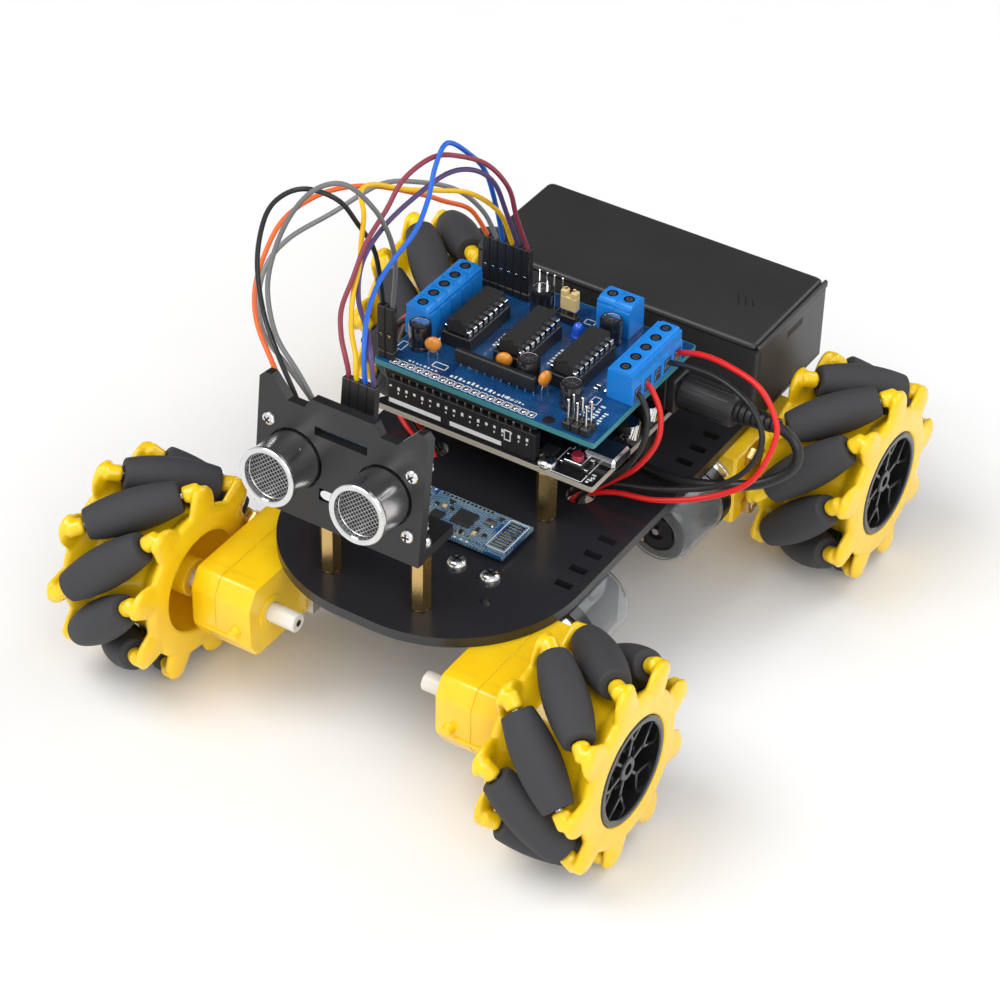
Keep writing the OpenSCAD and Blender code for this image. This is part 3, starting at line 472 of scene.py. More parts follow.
# ---------------------------------------------------------------- wires
JUMPER_D, LEAD_D, POWER_D = 1.35, 1.6, 3.0
HOUSING_H = 14.0
SHIELD_ENDS = [(-33, -11), (-30.4, -11), (-28, 32.5), (-25.46, 32.5),
               (-15.3, 32.5), (-20.38, 32.5), (-17.84, 32.5), (-22.92, 32.5)]
WIRE_ROUTES = [
    [(-33, -11, 93), (-32, -16, 112), (-34, -21, 123), (-37, -25, 131), (-44, -29, 134),
     (-50, -32, 131), (-53, -35, 125), (-52, -40, 115), (-46, -46, 105), (-37, -52, 98),
     (-30, -54, 88), (-29, -52, 76), (-31, -46, 64), (-37, -38, 53), (-37, -31, 49), (-31, -31, 48)],
    [(-30, -11, 93), (-27, -14, 108), (-26, -18, 120), (-28, -22, 130), (-33, -27, 138),
     (-40, -30, 136), (-45, -34, 129), (-47, -39, 120), (-46, -44, 111), (-40, -49, 102),
     (-30, -53, 96), (-24, -54, 88), (-24, -52, 76), (-27, -45, 62), (-33, -35, 52),
     (-36, -29, 49), (-31, -28, 48)],
    [(-28, 32, 93), (-31, 28, 102), (-35, 21, 107), (-39, 15, 111), (-47, 3, 117),
     (-54, -8, 118), (-58, -20, 115), (-57, -31, 109), (-54, -39, 104), (-48, -46, 100),
     (-39, -52, 95), (-34, -53, 86), (-33, -49, 74), (-37, -42, 61), (-42, -33, 52),
     (-39, -26, 49), (-31, -26, 48)],
    [(-25, 32, 93), (-27, 28, 103), (-31, 21, 112), (-37, 12, 117), (-44, 4, 118),
     (-51, -8, 113), (-57, -19, 109), (-59, -27, 104), (-56, -35, 98), (-48, -43, 95),
     (-37, -49, 94), (-28, -50, 86), (-28, -46, 74), (-33, -39, 60), (-40, -29, 51),
     (-37, -23, 48), (-31, -23, 48)],
    [(-15, 32, 93), (-15, 26, 106), (-14, 20, 119), (-16, 13, 129), (-20, 6, 134),
     (-24, -1, 136), (-27, -10, 133), (-27, -18, 128), (-27, -27, 123), (-25, -36, 118),
     (-23, -44, 114), (-19, -50, 111), (-15, -54, 108.5), (-13.8, -54.6, 105.5),
     (-13.8, -54.3, 102.4)],
    [(-20, 32, 93), (-21, 27, 105), (-25, 19, 114), (-30, 10, 118), (-34, 2, 121),
     (-39, -6, 125), (-39, -12, 126), (-34, -18, 124), (-30, -25, 121), (-26, -32, 118),
     (-23, -39, 115), (-18, -47, 111.5), (-12.6, -53, 109), (-11.3, -54.8, 105.8),
     (-11.3, -54.3, 102.4)],
    [(-18, 32, 93), (-17, 24, 108), (-16, 16, 122), (-18, 9, 129), (-22, 2, 130),
     (-26, -9, 126), (-28, -19, 122), (-27, -29, 118), (-22, -38, 114), (-14, -46, 112),
     (-8, -53, 111), (-6.2, -54.8, 106.5), (-6.2, -54.3, 102.4)],
    [(-23, 32, 93), (-22, 27, 106), (-20, 18, 123), (-21, 11, 132), (-23, 4, 138),
     (-22, -3, 135), (-19, -11, 130), (-17, -20, 126), (-18, -30, 121), (-17, -38, 118),
     (-14, -46, 115), (-10, -53, 111), (-8.7, -54.8, 106.2), (-8.7, -54.3, 102.4)]]
LEAD_ROUTES = [
    [(33, 9, 79), (36, 8, 78), (39, 6, 74), (39, 4, 67), (36, 2, 60), (31, 1, 54),
     (25, 0, 48), (22, 0, 42), (24, -4, 34), (30, -9, 31), (33, -12.5, 30),
     (33.4, -14.7, 30)],
    [(33, 14, 79), (36, 13, 78), (40, 11, 73), (41, 8, 66), (37, 5, 58), (31, 4, 52),
     (25, 2, 47), (20, 0, 42), (20, -6, 32), (27, -10, 26), (32, -12.3, 26),
     (33.4, -14.7, 26)],
    [(33, 25, 79), (42, 24, 81), (52, 22, 82), (62, 19, 80), (67, 17, 74), (67, 15, 68),
     (63, 13, 61), (55, 11, 55), (42, 8, 51), (31, 5, 50), (25, 4, 47), (22, 3, 42),
     (23, 7, 34), (30, 11, 31), (33, 12.5, 30), (33.4, 14.7, 30)],
    [(33, 30, 79), (42, 28, 83), (52, 25, 85), (63, 22, 84), (70, 19, 77), (70, 16, 69),
     (66, 13, 60), (56, 10, 53), (43, 6, 49), (32, 4, 48), (26, 3, 46), (20, 3, 42),
     (20, 8, 32), (27, 11, 26), (32, 12.3, 26), (33.4, 14.7, 26)]]
# Written mirrored, as in the CAD source
RIGHT_ROUTES = [
    [(33, 4, 79), (36, 3, 78), (39, 1, 74), (39, -1, 67), (36, -3, 60), (31, -4, 54),
     (25, -5, 48), (22, -5, 42), (24, -6, 34), (30, -9, 31), (33, -12.5, 30), (33.4, -14.7, 30)],
    [(33, 9, 79), (36, 8, 78), (40, 6, 73), (41, 3, 66), (37, 0, 58), (31, -1, 52),
     (25, -3, 47), (20, -5, 42), (20, -7, 32), (27, -10, 26), (32, -12.3, 26), (33.4, -14.7, 26)],
    [(33, 20, 79), (36, 19.5, 78.5), (39, 17, 75.5), (41, 13, 70), (41, 8, 64), (39, 3, 58),
     (35, 1, 51.5), (30, -0.5, 47.5), (26, -1, 45.7), (22.6, -0.9, 43), (22, -0.6, 41),
     (22, 1, 38), (23, 6, 34), (30, 11, 31), (33, 12.5, 30), (33.4, 14.7, 30)],
    [(33, 25, 79), (36, 24.5, 79), (40.5, 21, 75), (43, 16, 68), (43, 10, 60), (41, 5, 53),
     (37, 2, 47.5), (32, -0.6, 45.5), (27, -3, 45.4), (24, -2.9, 44), (21.5, -2.6, 40),
     (19.5, 1, 36), (20, 7, 31), (27, 11, 26), (32, 12.3, 26), (33.4, 14.7, 26)]]
POWER_ROUTE = [(65, 30, 67.8), (70, 29.5, 66), (72.5, 28.5, 62), (71, 27, 57), (64, 24, 52),
               (54, 21, 49), (44, 19.5, 47), (34, 20, 46.2), (24, 23, 46.2), (16, 30, 46.6),
               (12, 36, 47.2), (10, 42, 49), (9.5, 48, 51), (9.5, 52, 52.3), (9.5, 56, 52.5)]


def wire_colour(name, colour):
    return material("insulation_" + name, colour, 0.38, vary=0.07, grain=900, bump=0.03)


WIRE_COLOURS = [("black", (0.012, 0.012, 0.013)), ("grey", (0.16, 0.16, 0.165)),
                ("orange", (0.85, 0.14, 0.02)), ("mid_grey", (0.22, 0.22, 0.225)),
                ("mauve", (0.26, 0.035, 0.06)), ("yellow", (0.9, 0.52, 0.0)),
                ("violet", (0.085, 0.05, 0.16)), ("blue", (0.008, 0.12, 0.6))]


def jumper_wires():
    for k, (name, colour) in enumerate(WIRE_COLOURS):
        cord("jumper_%d_%s" % (k + 1, name), WIRE_ROUTES[k], JUMPER_D, wire_colour(name, colour),
             "jumper_wires")


def motor_leads():
    red = wire_colour("red", (0.72, 0.012, 0.01))
    black = wire_colour("black", WIRE_COLOURS[0][1])
    for k in range(4):
        mat, name = ((black, "black"), (red, "red"))[k % 2]
        mirrored = [(-x, y, z) for x, y, z in RIGHT_ROUTES[k]]
        cord("lead_left_%d_%s" % (k + 1, name), LEAD_ROUTES[k], LEAD_D, mat, "power_and_motor_leads")
        cord("lead_right_%d_%s" % (k + 1, name), mirrored, LEAD_D, mat, "power_and_motor_leads")
    cord("power_cable", POWER_ROUTE, POWER_D, black, "power_and_motor_leads")


def pin_housing(p, centre, way, length, w=2.5):
    """A one-pin crimp housing whose locking windows and pin mouth are dark patches of painted shade; way is
    its long axis.
    """
    hold = p.at
    p.at = hold @ (along(way, centre) if way != "Z" else Matrix.Translation(centre))
    h = w / 2 - 0.02
    p.box((-h, -h, 0), (h, h, length), BLACK, 0.18)
    p.box((-0.75, -h - 0.03, 0.3 * length), (0.75, -h + 0.3, 0.3 * length + 2.2), PAINTED_SHADE_AND_MARKS, 0.05)
    p.box((-0.45, -h - 0.05, 0.3 * length + 0.3), (0.45, -h + 0.3, 0.3 * length + 1.2), NICKEL, 0.05)
    p.box((-0.75, h - 0.3, 0.3 * length), (0.75, h + 0.03, 0.3 * length + 2.2), PAINTED_SHADE_AND_MARKS, 0.05)
    p.turned([(0.0, length + 0.02), (0.85, length + 0.02), (0.95, length - 0.3)], PAINTED_SHADE_AND_MARKS, 12)
    p.at = hold


def housings():
    p = Piece()
    for x, y in SHIELD_ENDS:
        pin_housing(p, (x, y, SHIELD + 2.6), "Z", HOUSING_H)
    for y in (-31, -28.5, -26, -23.5):
        pin_housing(p, (-17.8, y, DECK + 3.85), "-X", 13.7, 2.4)
    p.at = panel_frame()
    for k in range(4):
        pin_housing(p, (-3.81 + 2.54 * k, 7.65, EYE_H + 10.4), "Z", HOUSING_H)
    p.make("wire_housings", "chassis", "jumper_wires", slot="wire_plastic")


def power_plug():
    p = Piece()
    p.at = along("X", (0, 30, BOARD + 6))
    p.rod(2.75, 27, 37, NICKEL, 0.2)
    p.turned([(0, 36.4), (4.3, 36.4), (4.9, 37), (4.9, 52), (4.3, 53), (3.4, 53.2), (0, 53.2)], BLACK, 40)
    for k in range(10):
        a = 2 * math.pi * k / 10
        p.at = along("X", (0, 30, BOARD + 6)) @ Matrix.Rotation(a, 4, "Z")
        p.box((4.6, -0.55, 38.5), (4.98, 0.55, 51.5), BLACK, 0.15)
    p.at = along("X", (0, 30, BOARD + 6))
    boot = [(0, 53)]
    for k in range(7):
        x, r = 53.1 + 1.85 * k, 3.2 - 0.17 * k
        boot += [(r, x), (r, x + 1.1), (r - 0.7, x + 1.25), (r - 0.7, x + 1.75)]
    p.turned(boot + [(0, 66)], BLACK, 32)
    p.make("power_plug", "chassis", "power_and_motor_leads", slot="wire_plastic")


def panel_frame():
    """X across the sensor's panel, -Y out of its front face, Z up its face."""
    return Matrix.Translation(PANEL) @ Matrix.Rotation(math.radians(-PANEL_LEAN), 4, "X")


# ---------------------------------------------------------------- wheels
def paint(name, mat):
    """Gives a CAD node that stays its finished material."""
    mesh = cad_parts[name].data
    if not mesh.materials:
        mesh.materials.append(mat)
    for k in range(len(mesh.materials)):
        mesh.materials[k] = mat


def blended(mesh, voxel, rounds):
    """One smooth skin around overlapping solids, as a moulding has."""
    holder = bpy.data.objects.new("blend", mesh)
    bpy.context.scene.collection.objects.link(holder)
    remesh = holder.modifiers.new("skin", "REMESH")
    remesh.mode, remesh.voxel_size = "VOXEL", voxel * MM
    soften = holder.modifiers.new("soften", "SMOOTH")
    soften.factor, soften.iterations = 0.5, rounds
    bpy.context.view_layer.update()
    skin = bpy.data.meshes.new_from_object(holder.evaluated_get(bpy.context.evaluated_depsgraph_get()))
    bpy.data.objects.remove(holder)
    return skin


def roller_frame(i, hand):
    """Local X runs along the roller's pin and local Y points away from the wheel's axis."""
    turn = Matrix.Rotation(math.radians(270 + 360 / ROLLERS * i), 4, "X")
    return turn @ Matrix.Translation((0, PITCH_R, 0)) @ Matrix.Rotation(math.radians(45 * hand), 4, "Y")


# A petal from its root to the roller's end: radius, turn, distance out, half sizes out, radially, across
PETAL = [
    (19.0, 0, 13.8, 1.55, 3.4, 5.4), (21.2, 0, 13.85, 1.6, 3.2, 5.3), (23.4, 0, 13.85, 1.6, 3.0, 5.0),
    (25.0, 0, 13.8, 1.65, 2.7, 4.5), (26.1, 0.5, 13.75, 1.65, 2.4, 4.0), (26.9, 1.2, 13.7, 1.6, 2.2, 3.5),
    (27.3, 2.0, 13.6, 1.5, 1.9, 3.0)]


def wheel_skin(hand):
    p = Piece()
    x_axis = along("X", (0, 0, 0))
    p.at = x_axis
    p.turned([(2.75, -13), (5.4, -13), (5.4, 1), (14.5, 1), (14.5, -15.4), (15.2, -15.5), (20.2, -15.4),
              (21.8, -14.9), (22.2, -14), (21.8, -13), (20.0, -11), (17.5, -8.5), (17.5, 8.5), (20.0, 11),
              (21.8, 13), (22.2, 14), (21.8, 14.9), (20.2, 15.4), (15.6, 15.5), (15.2, 15), (15.2, 4),
              (2.75, 4), (2.75, -13)], YELLOW, 96)
    for side in (-1, 1):
        for i in range(ROLLERS):
            root = 270 + 360 / ROLLERS * i - side * hand * 27.5
            for a, b in zip(PETAL, PETAL[1:]):
                for t in (0, 0.5):
                    r, turn, x, out, radial, across = [u + (v - u) * t for u, v in zip(a, b)]
                    p.at = Matrix.Rotation(math.radians(root + side * hand * turn), 4, "X")
                    p.ball((side * x, r, 0), (out, radial, across), YELLOW, 18)
            r, turn, x, out, radial, across = PETAL[-1]
            p.at = Matrix.Rotation(math.radians(root + side * hand * turn), 4, "X")
            p.ball((side * x, r, 0), (out, radial, across), YELLOW, 18)
            ends = (13.4, 18.2) if side > 0 else (-18.2, -13.4)
            p.at = roller_frame(i, hand) @ x_axis
            p.rod(2.35, ends[0], ends[1], YELLOW, 0.5, 20)
    return blended(p.mesh("wheel_skin"), 0.5, 3)


def wheel_place(sx, sy):
    return (Matrix.Translation((sx * TRACK / 2, sy * WHEELBASE / 2, WHEEL_R))
            @ Matrix.Diagonal((sx, 1, 1, 1)))


def wheels():
    skins = {hand: wheel_skin(hand) for hand in (-1, 1)}
    for name, sx, sy in CORNERS:
        mesh = skins[sy].copy()
        mesh.transform(Matrix.Translation((sx * TRACK / 2 * MM, sy * WHEELBASE / 2 * MM, WHEEL_R * MM))
                       @ Matrix.Diagonal((sx, 1, 1, 1)))
        if sx < 0:
            mesh.flip_normals()
        mesh.materials.clear()
        mesh.materials.append(YELLOW)
        place("rim_" + name, mesh, "wheel_" + name, "wheel_frame_" + name, slot="yellow_plastic", angle=70)
        hub(name, sx, sy)
        for i in range(1, ROLLERS + 1):
            roller(name, i, sx, sy)


def roller(name, i, sx, hand):
    """A barrel that follows the wheel's outer circle, with rounded rims and a seam at its ends."""
    p = Piece()
    p.at = wheel_place(sx, hand) @ roller_frame(i, hand) @ along("X", (0, 0, 0))
    half = []
    for k in range(15):
        t = 12.3 * k / 14
        half.append((WHEEL_R - math.sqrt(PITCH_R ** 2 + t * t / 2), t))
    end = half[-1][0]
    half += [(end - 0.12, 12.65), (end - 0.4, 12.9), (end - 0.8, 12.98), (2.2, 12.98), (2.1, 12.7),
             (1.1, 12.7)]
    profile = [(r, -t) for r, t in half[::-1]] + half[1:]
    p.turned(profile + [profile[0]], RUBBER, 56)
    number = "roller_%s_%d" % (name, i)
    p.make(number + "_skin", number, number, slot="roller_rubber")


def hub(name, sx, sy):
    """The black insert with its branching spokes, the white output shaft and the roller pins."""
    p = Piece()
    whole = wheel_place(sx, sy)
    p.at = whole @ along("X", (0, 0, 0))
    p.turned([(0, 8), (15.1, 8), (15.1, 15.1), (14.8, 15.45), (13.6, 15.45), (13.3, 15.1), (13.1, 9.6),
              (3.4, 9.4), (0, 9.4)], HUB_BLACK, 64)
    p.rod(3.3, 9.3, 13.9, HUB_BLACK, 0.3, 32, 1.6)
    p.rod(1.55, 9.2, 9.6, STEEL, 0.1, 16)
    for k in range(6):
        p.at = whole @ Matrix.Rotation(math.radians(60 * k + 12), 4, "X")
        p.box((9.3, 3.0, -0.55), (13.4, 8.2, 0.55), HUB_BLACK, 0.18)
        p.box((9.3, 4.8, -2.1), (12.6, 5.7, 2.1), HUB_BLACK, 0.15)
        fork = p.at @ Matrix.Translation((0, 7.9, 0))
        for s in (-1, 1):
            p.at = fork @ Matrix.Rotation(math.radians(38 * s), 4, "X")
            p.box((9.3, -0.3, -0.5), (13.6, 6.6, 0.5), HUB_BLACK, 0.18)
    p.at = whole @ along("X", (0, 0, 0))
    p.rod(2.7, -46.5, -7, SHAFT_WHITE, 0.3, 40)
    # A dark disc of painted shade stands for the hole in the shaft's end
    p.rod(1.0, -46.55, -46.4, PAINTED_SHADE_AND_MARKS, 0.02, 16)
    p.rod(8.5, -31, -26, SHAFT_WHITE, 0.3, 40)
    for k in range(28):
        p.at = whole @ Matrix.Rotation(2 * math.pi * k / 28, 4, "X")
        p.box((-30.8, 8.2, -0.42), (-26.2, 8.75, 0.42), SHAFT_WHITE, 0.12)
    for i in range(ROLLERS):
        p.at = whole @ roller_frame(i, sy) @ along("X", (0, 0, 0))
        p.rod(1.0, -17.4, 17.4, STEEL, 0.15, 20)
    p.make("hub_" + name, "wheel_" + name, "wheel_hub_" + name, slot="hub_black")


# ---------------------------------------------------------------- gear motors
SIDE_ON = Matrix(((0, 0, 1, 0), (1, 0, 0, 0), (0, 1, 0, 0), (0, 0, 0, 1)))
GEAR_X, GEAR_W, NOSE_Y, GEAR_END = 38.4, 18.8, 79.5, 42.0


def corner_frame(sx, sy):
    """Draws for the front left corner and mirrors to the others."""
    return Matrix.Diagonal((sx, -sy, 1, 1))


def rounded(outline, r, steps=4):
    """An outline with each corner replaced by an arc-like curve."""
    made = []
    for k, point in enumerate(outline):
        b = Vector(point)
        a, c = Vector(outline[k - 1]), Vector(outline[(k + 1) % len(outline)])
        p = b + (a - b).normalized() * min(r, (a - b).length * 0.45)
        q = b + (c - b).normalized() * min(r, (c - b).length * 0.45)
        for j in range(steps + 1):
            t = j / steps
            made.append(tuple((1 - t) ** 2 * p + 2 * t * (1 - t) * b + t * t * q))
    return made


def gearboxes():
    p = Piece()
    side = rounded([(-GEAR_END, 18.75), (-NOSE_Y + 3, 18.75), (-NOSE_Y, 23.75), (-NOSE_Y, 36.25),
                    (-NOSE_Y + 3, 41.2), (-GEAR_END, 41.2)], 1.1)
    core = [(y * 0.992 - 0.5, 30 + (z - 30) * 0.98) for y, z in side]
    for _, sx, sy in CORNERS:
        whole = corner_frame(sx, sy)
        x0, x1, mid = GEAR_X - GEAR_W / 2, GEAR_X + GEAR_W / 2, GEAR_X + 1.5
        p.at = whole @ SIDE_ON
        p.prism(side, mid + 0.12, x1, YELLOW, 0.8)
        p.prism(core, mid - 1, mid + 1, YELLOW)
        p.at = whole @ Matrix.Translation((2 * mid, 0, 0)) @ Matrix.Diagonal((-1, 1, 1, 1)) @ SIDE_ON
        p.prism(side, mid + 0.12, 2 * mid - x0, YELLOW, 0.8)
        for x, way in ((x1, "X"), (x0, "-X")):
            p.at = whole @ along(way, (x, -WHEELBASE / 2, WHEEL_R))
            p.turned([(2.9, -0.3), (5.0, -0.3), (4.8, 0.5), (2.9, 0.5), (2.9, -0.3)], YELLOW, 32)
        for z in (-8, 8):
            p.at = whole @ along("X", (x1, -49.8, WHEEL_R + z))
            p.turned([(1.7, -0.4), (2.7, -0.4), (2.6, 0.35), (1.7, 0.35), (1.7, -0.4)], YELLOW, 24)
        p.at = whole @ along("-Y", (x0 + 4.5, -NOSE_Y, 27.2))
        p.turned([(0, -0.4), (1.9, -0.4), (1.5, 0.7), (1.25, 1.7), (0, 1.9)], YELLOW, 20)
        p.at = whole
        p.box((x0 + 6, -NOSE_Y - 0.55, 24.6), (x1 - 4, -NOSE_Y + 0.5, 25.2), YELLOW, 0.2)
        for y in (-73, -60.5):
            p.box((x0 + 2.2, y, 40.6), (x1 - 2.2, y + 0.8, 41.22), YELLOW, 0.2)
        for x in (x0 + 1.2, x1 - 3.2):
            p.box((x, -GEAR_END - 1, 24), (x + 2, -GEAR_END + 2.2, 36), YELLOW, 0.4)
    p.make("gearbox_cases", "chassis", "gearboxes", slot="yellow_plastic")


def clipped_circle(r, half, steps=10):
    """A circle with two flat sides, in local X and Y."""
    a = math.acos(half / r)
    points = []
    for middle in (math.pi / 2, 3 * math.pi / 2):
        reach = math.pi / 2 - a
        points += [(r * math.cos(middle + reach * (2 * k / steps - 1)),
                    r * math.sin(middle + reach * (2 * k / steps - 1))) for k in range(steps + 1)]
    return points


def motors():
    for name, sx, sy in CORNERS:
        p = Piece()
        whole = corner_frame(sx, sy) @ along("Y", (GEAR_X, -GEAR_END, WHEEL_R))
        p.at = whole
        p.prism(clipped_circle(10.15, 7.9), -0.2, 1.3, STEEL, 0.3)
        p.prism(clipped_circle(9.95, 7.5), 1, 8, STEEL, 0.3)
        p.prism(clipped_circle(9.95, 7.5), 7.8, 21.4, STRAP, 0.5)
        p.turned([(10.0, 4.0), (11.0, 4.2), (11.0, 8.2), (10.0, 8.4), (10.0, 4.0)], STRAP, 48)
        p.prism(clipped_circle(10.25, 7.85), 4.2, 8.4, STRAP, 0.3)
        p.prism(clipped_circle(9.7, 7.3), 20.8, 22.8, STRAP, 0.3)
        p.prism(clipped_circle(9.5, 7.2), 22.6, 26, STRAP, 0.8)
        p.turned([(2.2, 25.5), (5.4, 25.5), (5.2, 26.9), (2.6, 26.9), (2.2, 25.5)], STRAP, 32)
        p.turned([(0, 26), (1.1, 26), (1.0, 26.95), (0, 26.95)], STEEL, 20)
        for z in (-4, 4):
            p.box((-7.1, z - 1.1, 24.8), (-3.6, z + 1.1, 26.9), BRASS, 0.15)
        p.make("motor_" + name, "chassis", "motors", slot="motor_steel")
        clear = Piece()
        clear.at = whole
        clear.turned([(10.45, 8.6), (10.8, 8.6), (10.8, 23.6), (10.3, 25.6), (9.2, 26.7), (6.2, 26.9),
                      (6.2, 26.6), (9.0, 26.4), (10.0, 25.4), (10.45, 23.5), (10.45, 8.6)], CLEAR, 56)
        clear.make("motor_strap_" + name, "chassis", slot="motor_steel")


# ---------------------------------------------------------------- boards
def circuit_board(p, z, mask, edge, holes=()):
    """A board with the usual stepped end, its pale cut edge showing round both masks."""
    x, y0, y1 = BOARD_X, BOARD_FRONT, BOARD_REAR
    outline = [(x, y0), (x, y1), (-x + 2.5, y1), (-x, y1 - 2.5), (-x, y1 - 13), (-x + 1.2, y1 - 15),
               (-x + 1.2, y0 + 3.5), (-x, y0 + 2.3), (-x, y0)][::-1]
    outline = rounded(outline, 0.8, 3)
    inset = [(px * 0.994, 13.05 + (py - 13.05) * 0.992) for px, py in outline]
    p.prism(outline, z - 1.57, z - 0.03, edge)
    p.prism(inset, z - 0.05, z, mask)
    p.prism(inset, z - 1.6, z - 1.55, mask)
    # Each hole is a dark disc of painted shade on the mask
    for hx, hy in holes:
        hold = p.at
        p.at = hold @ Matrix.Translation((hx, hy, z))
        p.turned([(0, 0.03), (1.7, 0.03), (1.75, 0.01)], PAINTED_SHADE_AND_MARKS, 24)
        p.at = hold


def print_bar(p, x0, y0, x1, y1, z, mat=None):
    """A printed mark a few hundredths high."""
    p.box((min(x0, x1), min(y0, y1), z - 0.02), (max(x0, x1), max(y0, y1), z + 0.035), mat or WHITE, 0.01)


def print_frame(p, x0, y0, x1, y1, z, w=0.28):
    """A printed outline."""
    print_bar(p, x0, y0, x1, y0 + w, z)
    print_bar(p, x0, y1 - w, x1, y1, z)
    print_bar(p, x0, y0, x0 + w, y1, z)
    print_bar(p, x1 - w, y0, x1, y1, z)


def squiggle(p, x, y, z, count, step=1.0, tall=1.0, along_y=False):
    """A row of short strokes of uneven height that stands in for small print."""
    for k in range(count):
        h = tall * (0.45 + 0.55 * abs(math.sin(2.3 * k + x + y)))
        w = step * (0.35 + 0.25 * abs(math.cos(1.7 * k + y)))
        if along_y:
            print_bar(p, x, y + k * step, x + h, y + k * step + w, z)
        else:
            print_bar(p, x + k * step, y, x + k * step + w, y + h, z)


def socket_strip(p, x0, x1, y, z, h=8.5, pitch=2.54):
    """A row of pin sockets along X, each pin's well a dark square of painted shade, with dark seams between
    the sockets.
    """
    p.box((x0, y - 1.25, z), (x1, y + 1.25, z + h), BLACK, 0.12)
    for k in range(int((x1 - x0) / pitch)):
        cx = x0 + (k + 0.5) * pitch
        p.box((cx - 0.5, y - 0.5, z + h - 0.1), (cx + 0.5, y + 0.5, z + h + 0.03), PAINTED_SHADE_AND_MARKS, 0.02)
        seam = cx + pitch / 2
        p.box((seam - 0.06, y - 1.28, z + 0.2), (seam + 0.06, y - 1.2, z + h - 0.3), PAINTED_SHADE_AND_MARKS, 0.01)


def small_parts(p, spots, z, mat=None):
    """Surface parts: a dark or pale body between two bright ends."""
    for k, (x, y, turn) in enumerate(spots):
        hold = p.at
        p.at = hold @ Matrix.Translation((x, y, z)) @ Matrix.Rotation(math.radians(turn), 4, "Z")
        body = mat or (CHIP, CREAM, BLACK)[k % 3]
        p.box((-0.62, -0.58, 0), (0.62, 0.58, 0.62), body, 0.06)
        p.box((-1.0, -0.62, 0), (-0.6, 0.62, 0.65), NICKEL, 0.06)
        p.box((0.6, -0.62, 0), (1.0, 0.62, 0.65), NICKEL, 0.06)
        p.at = hold


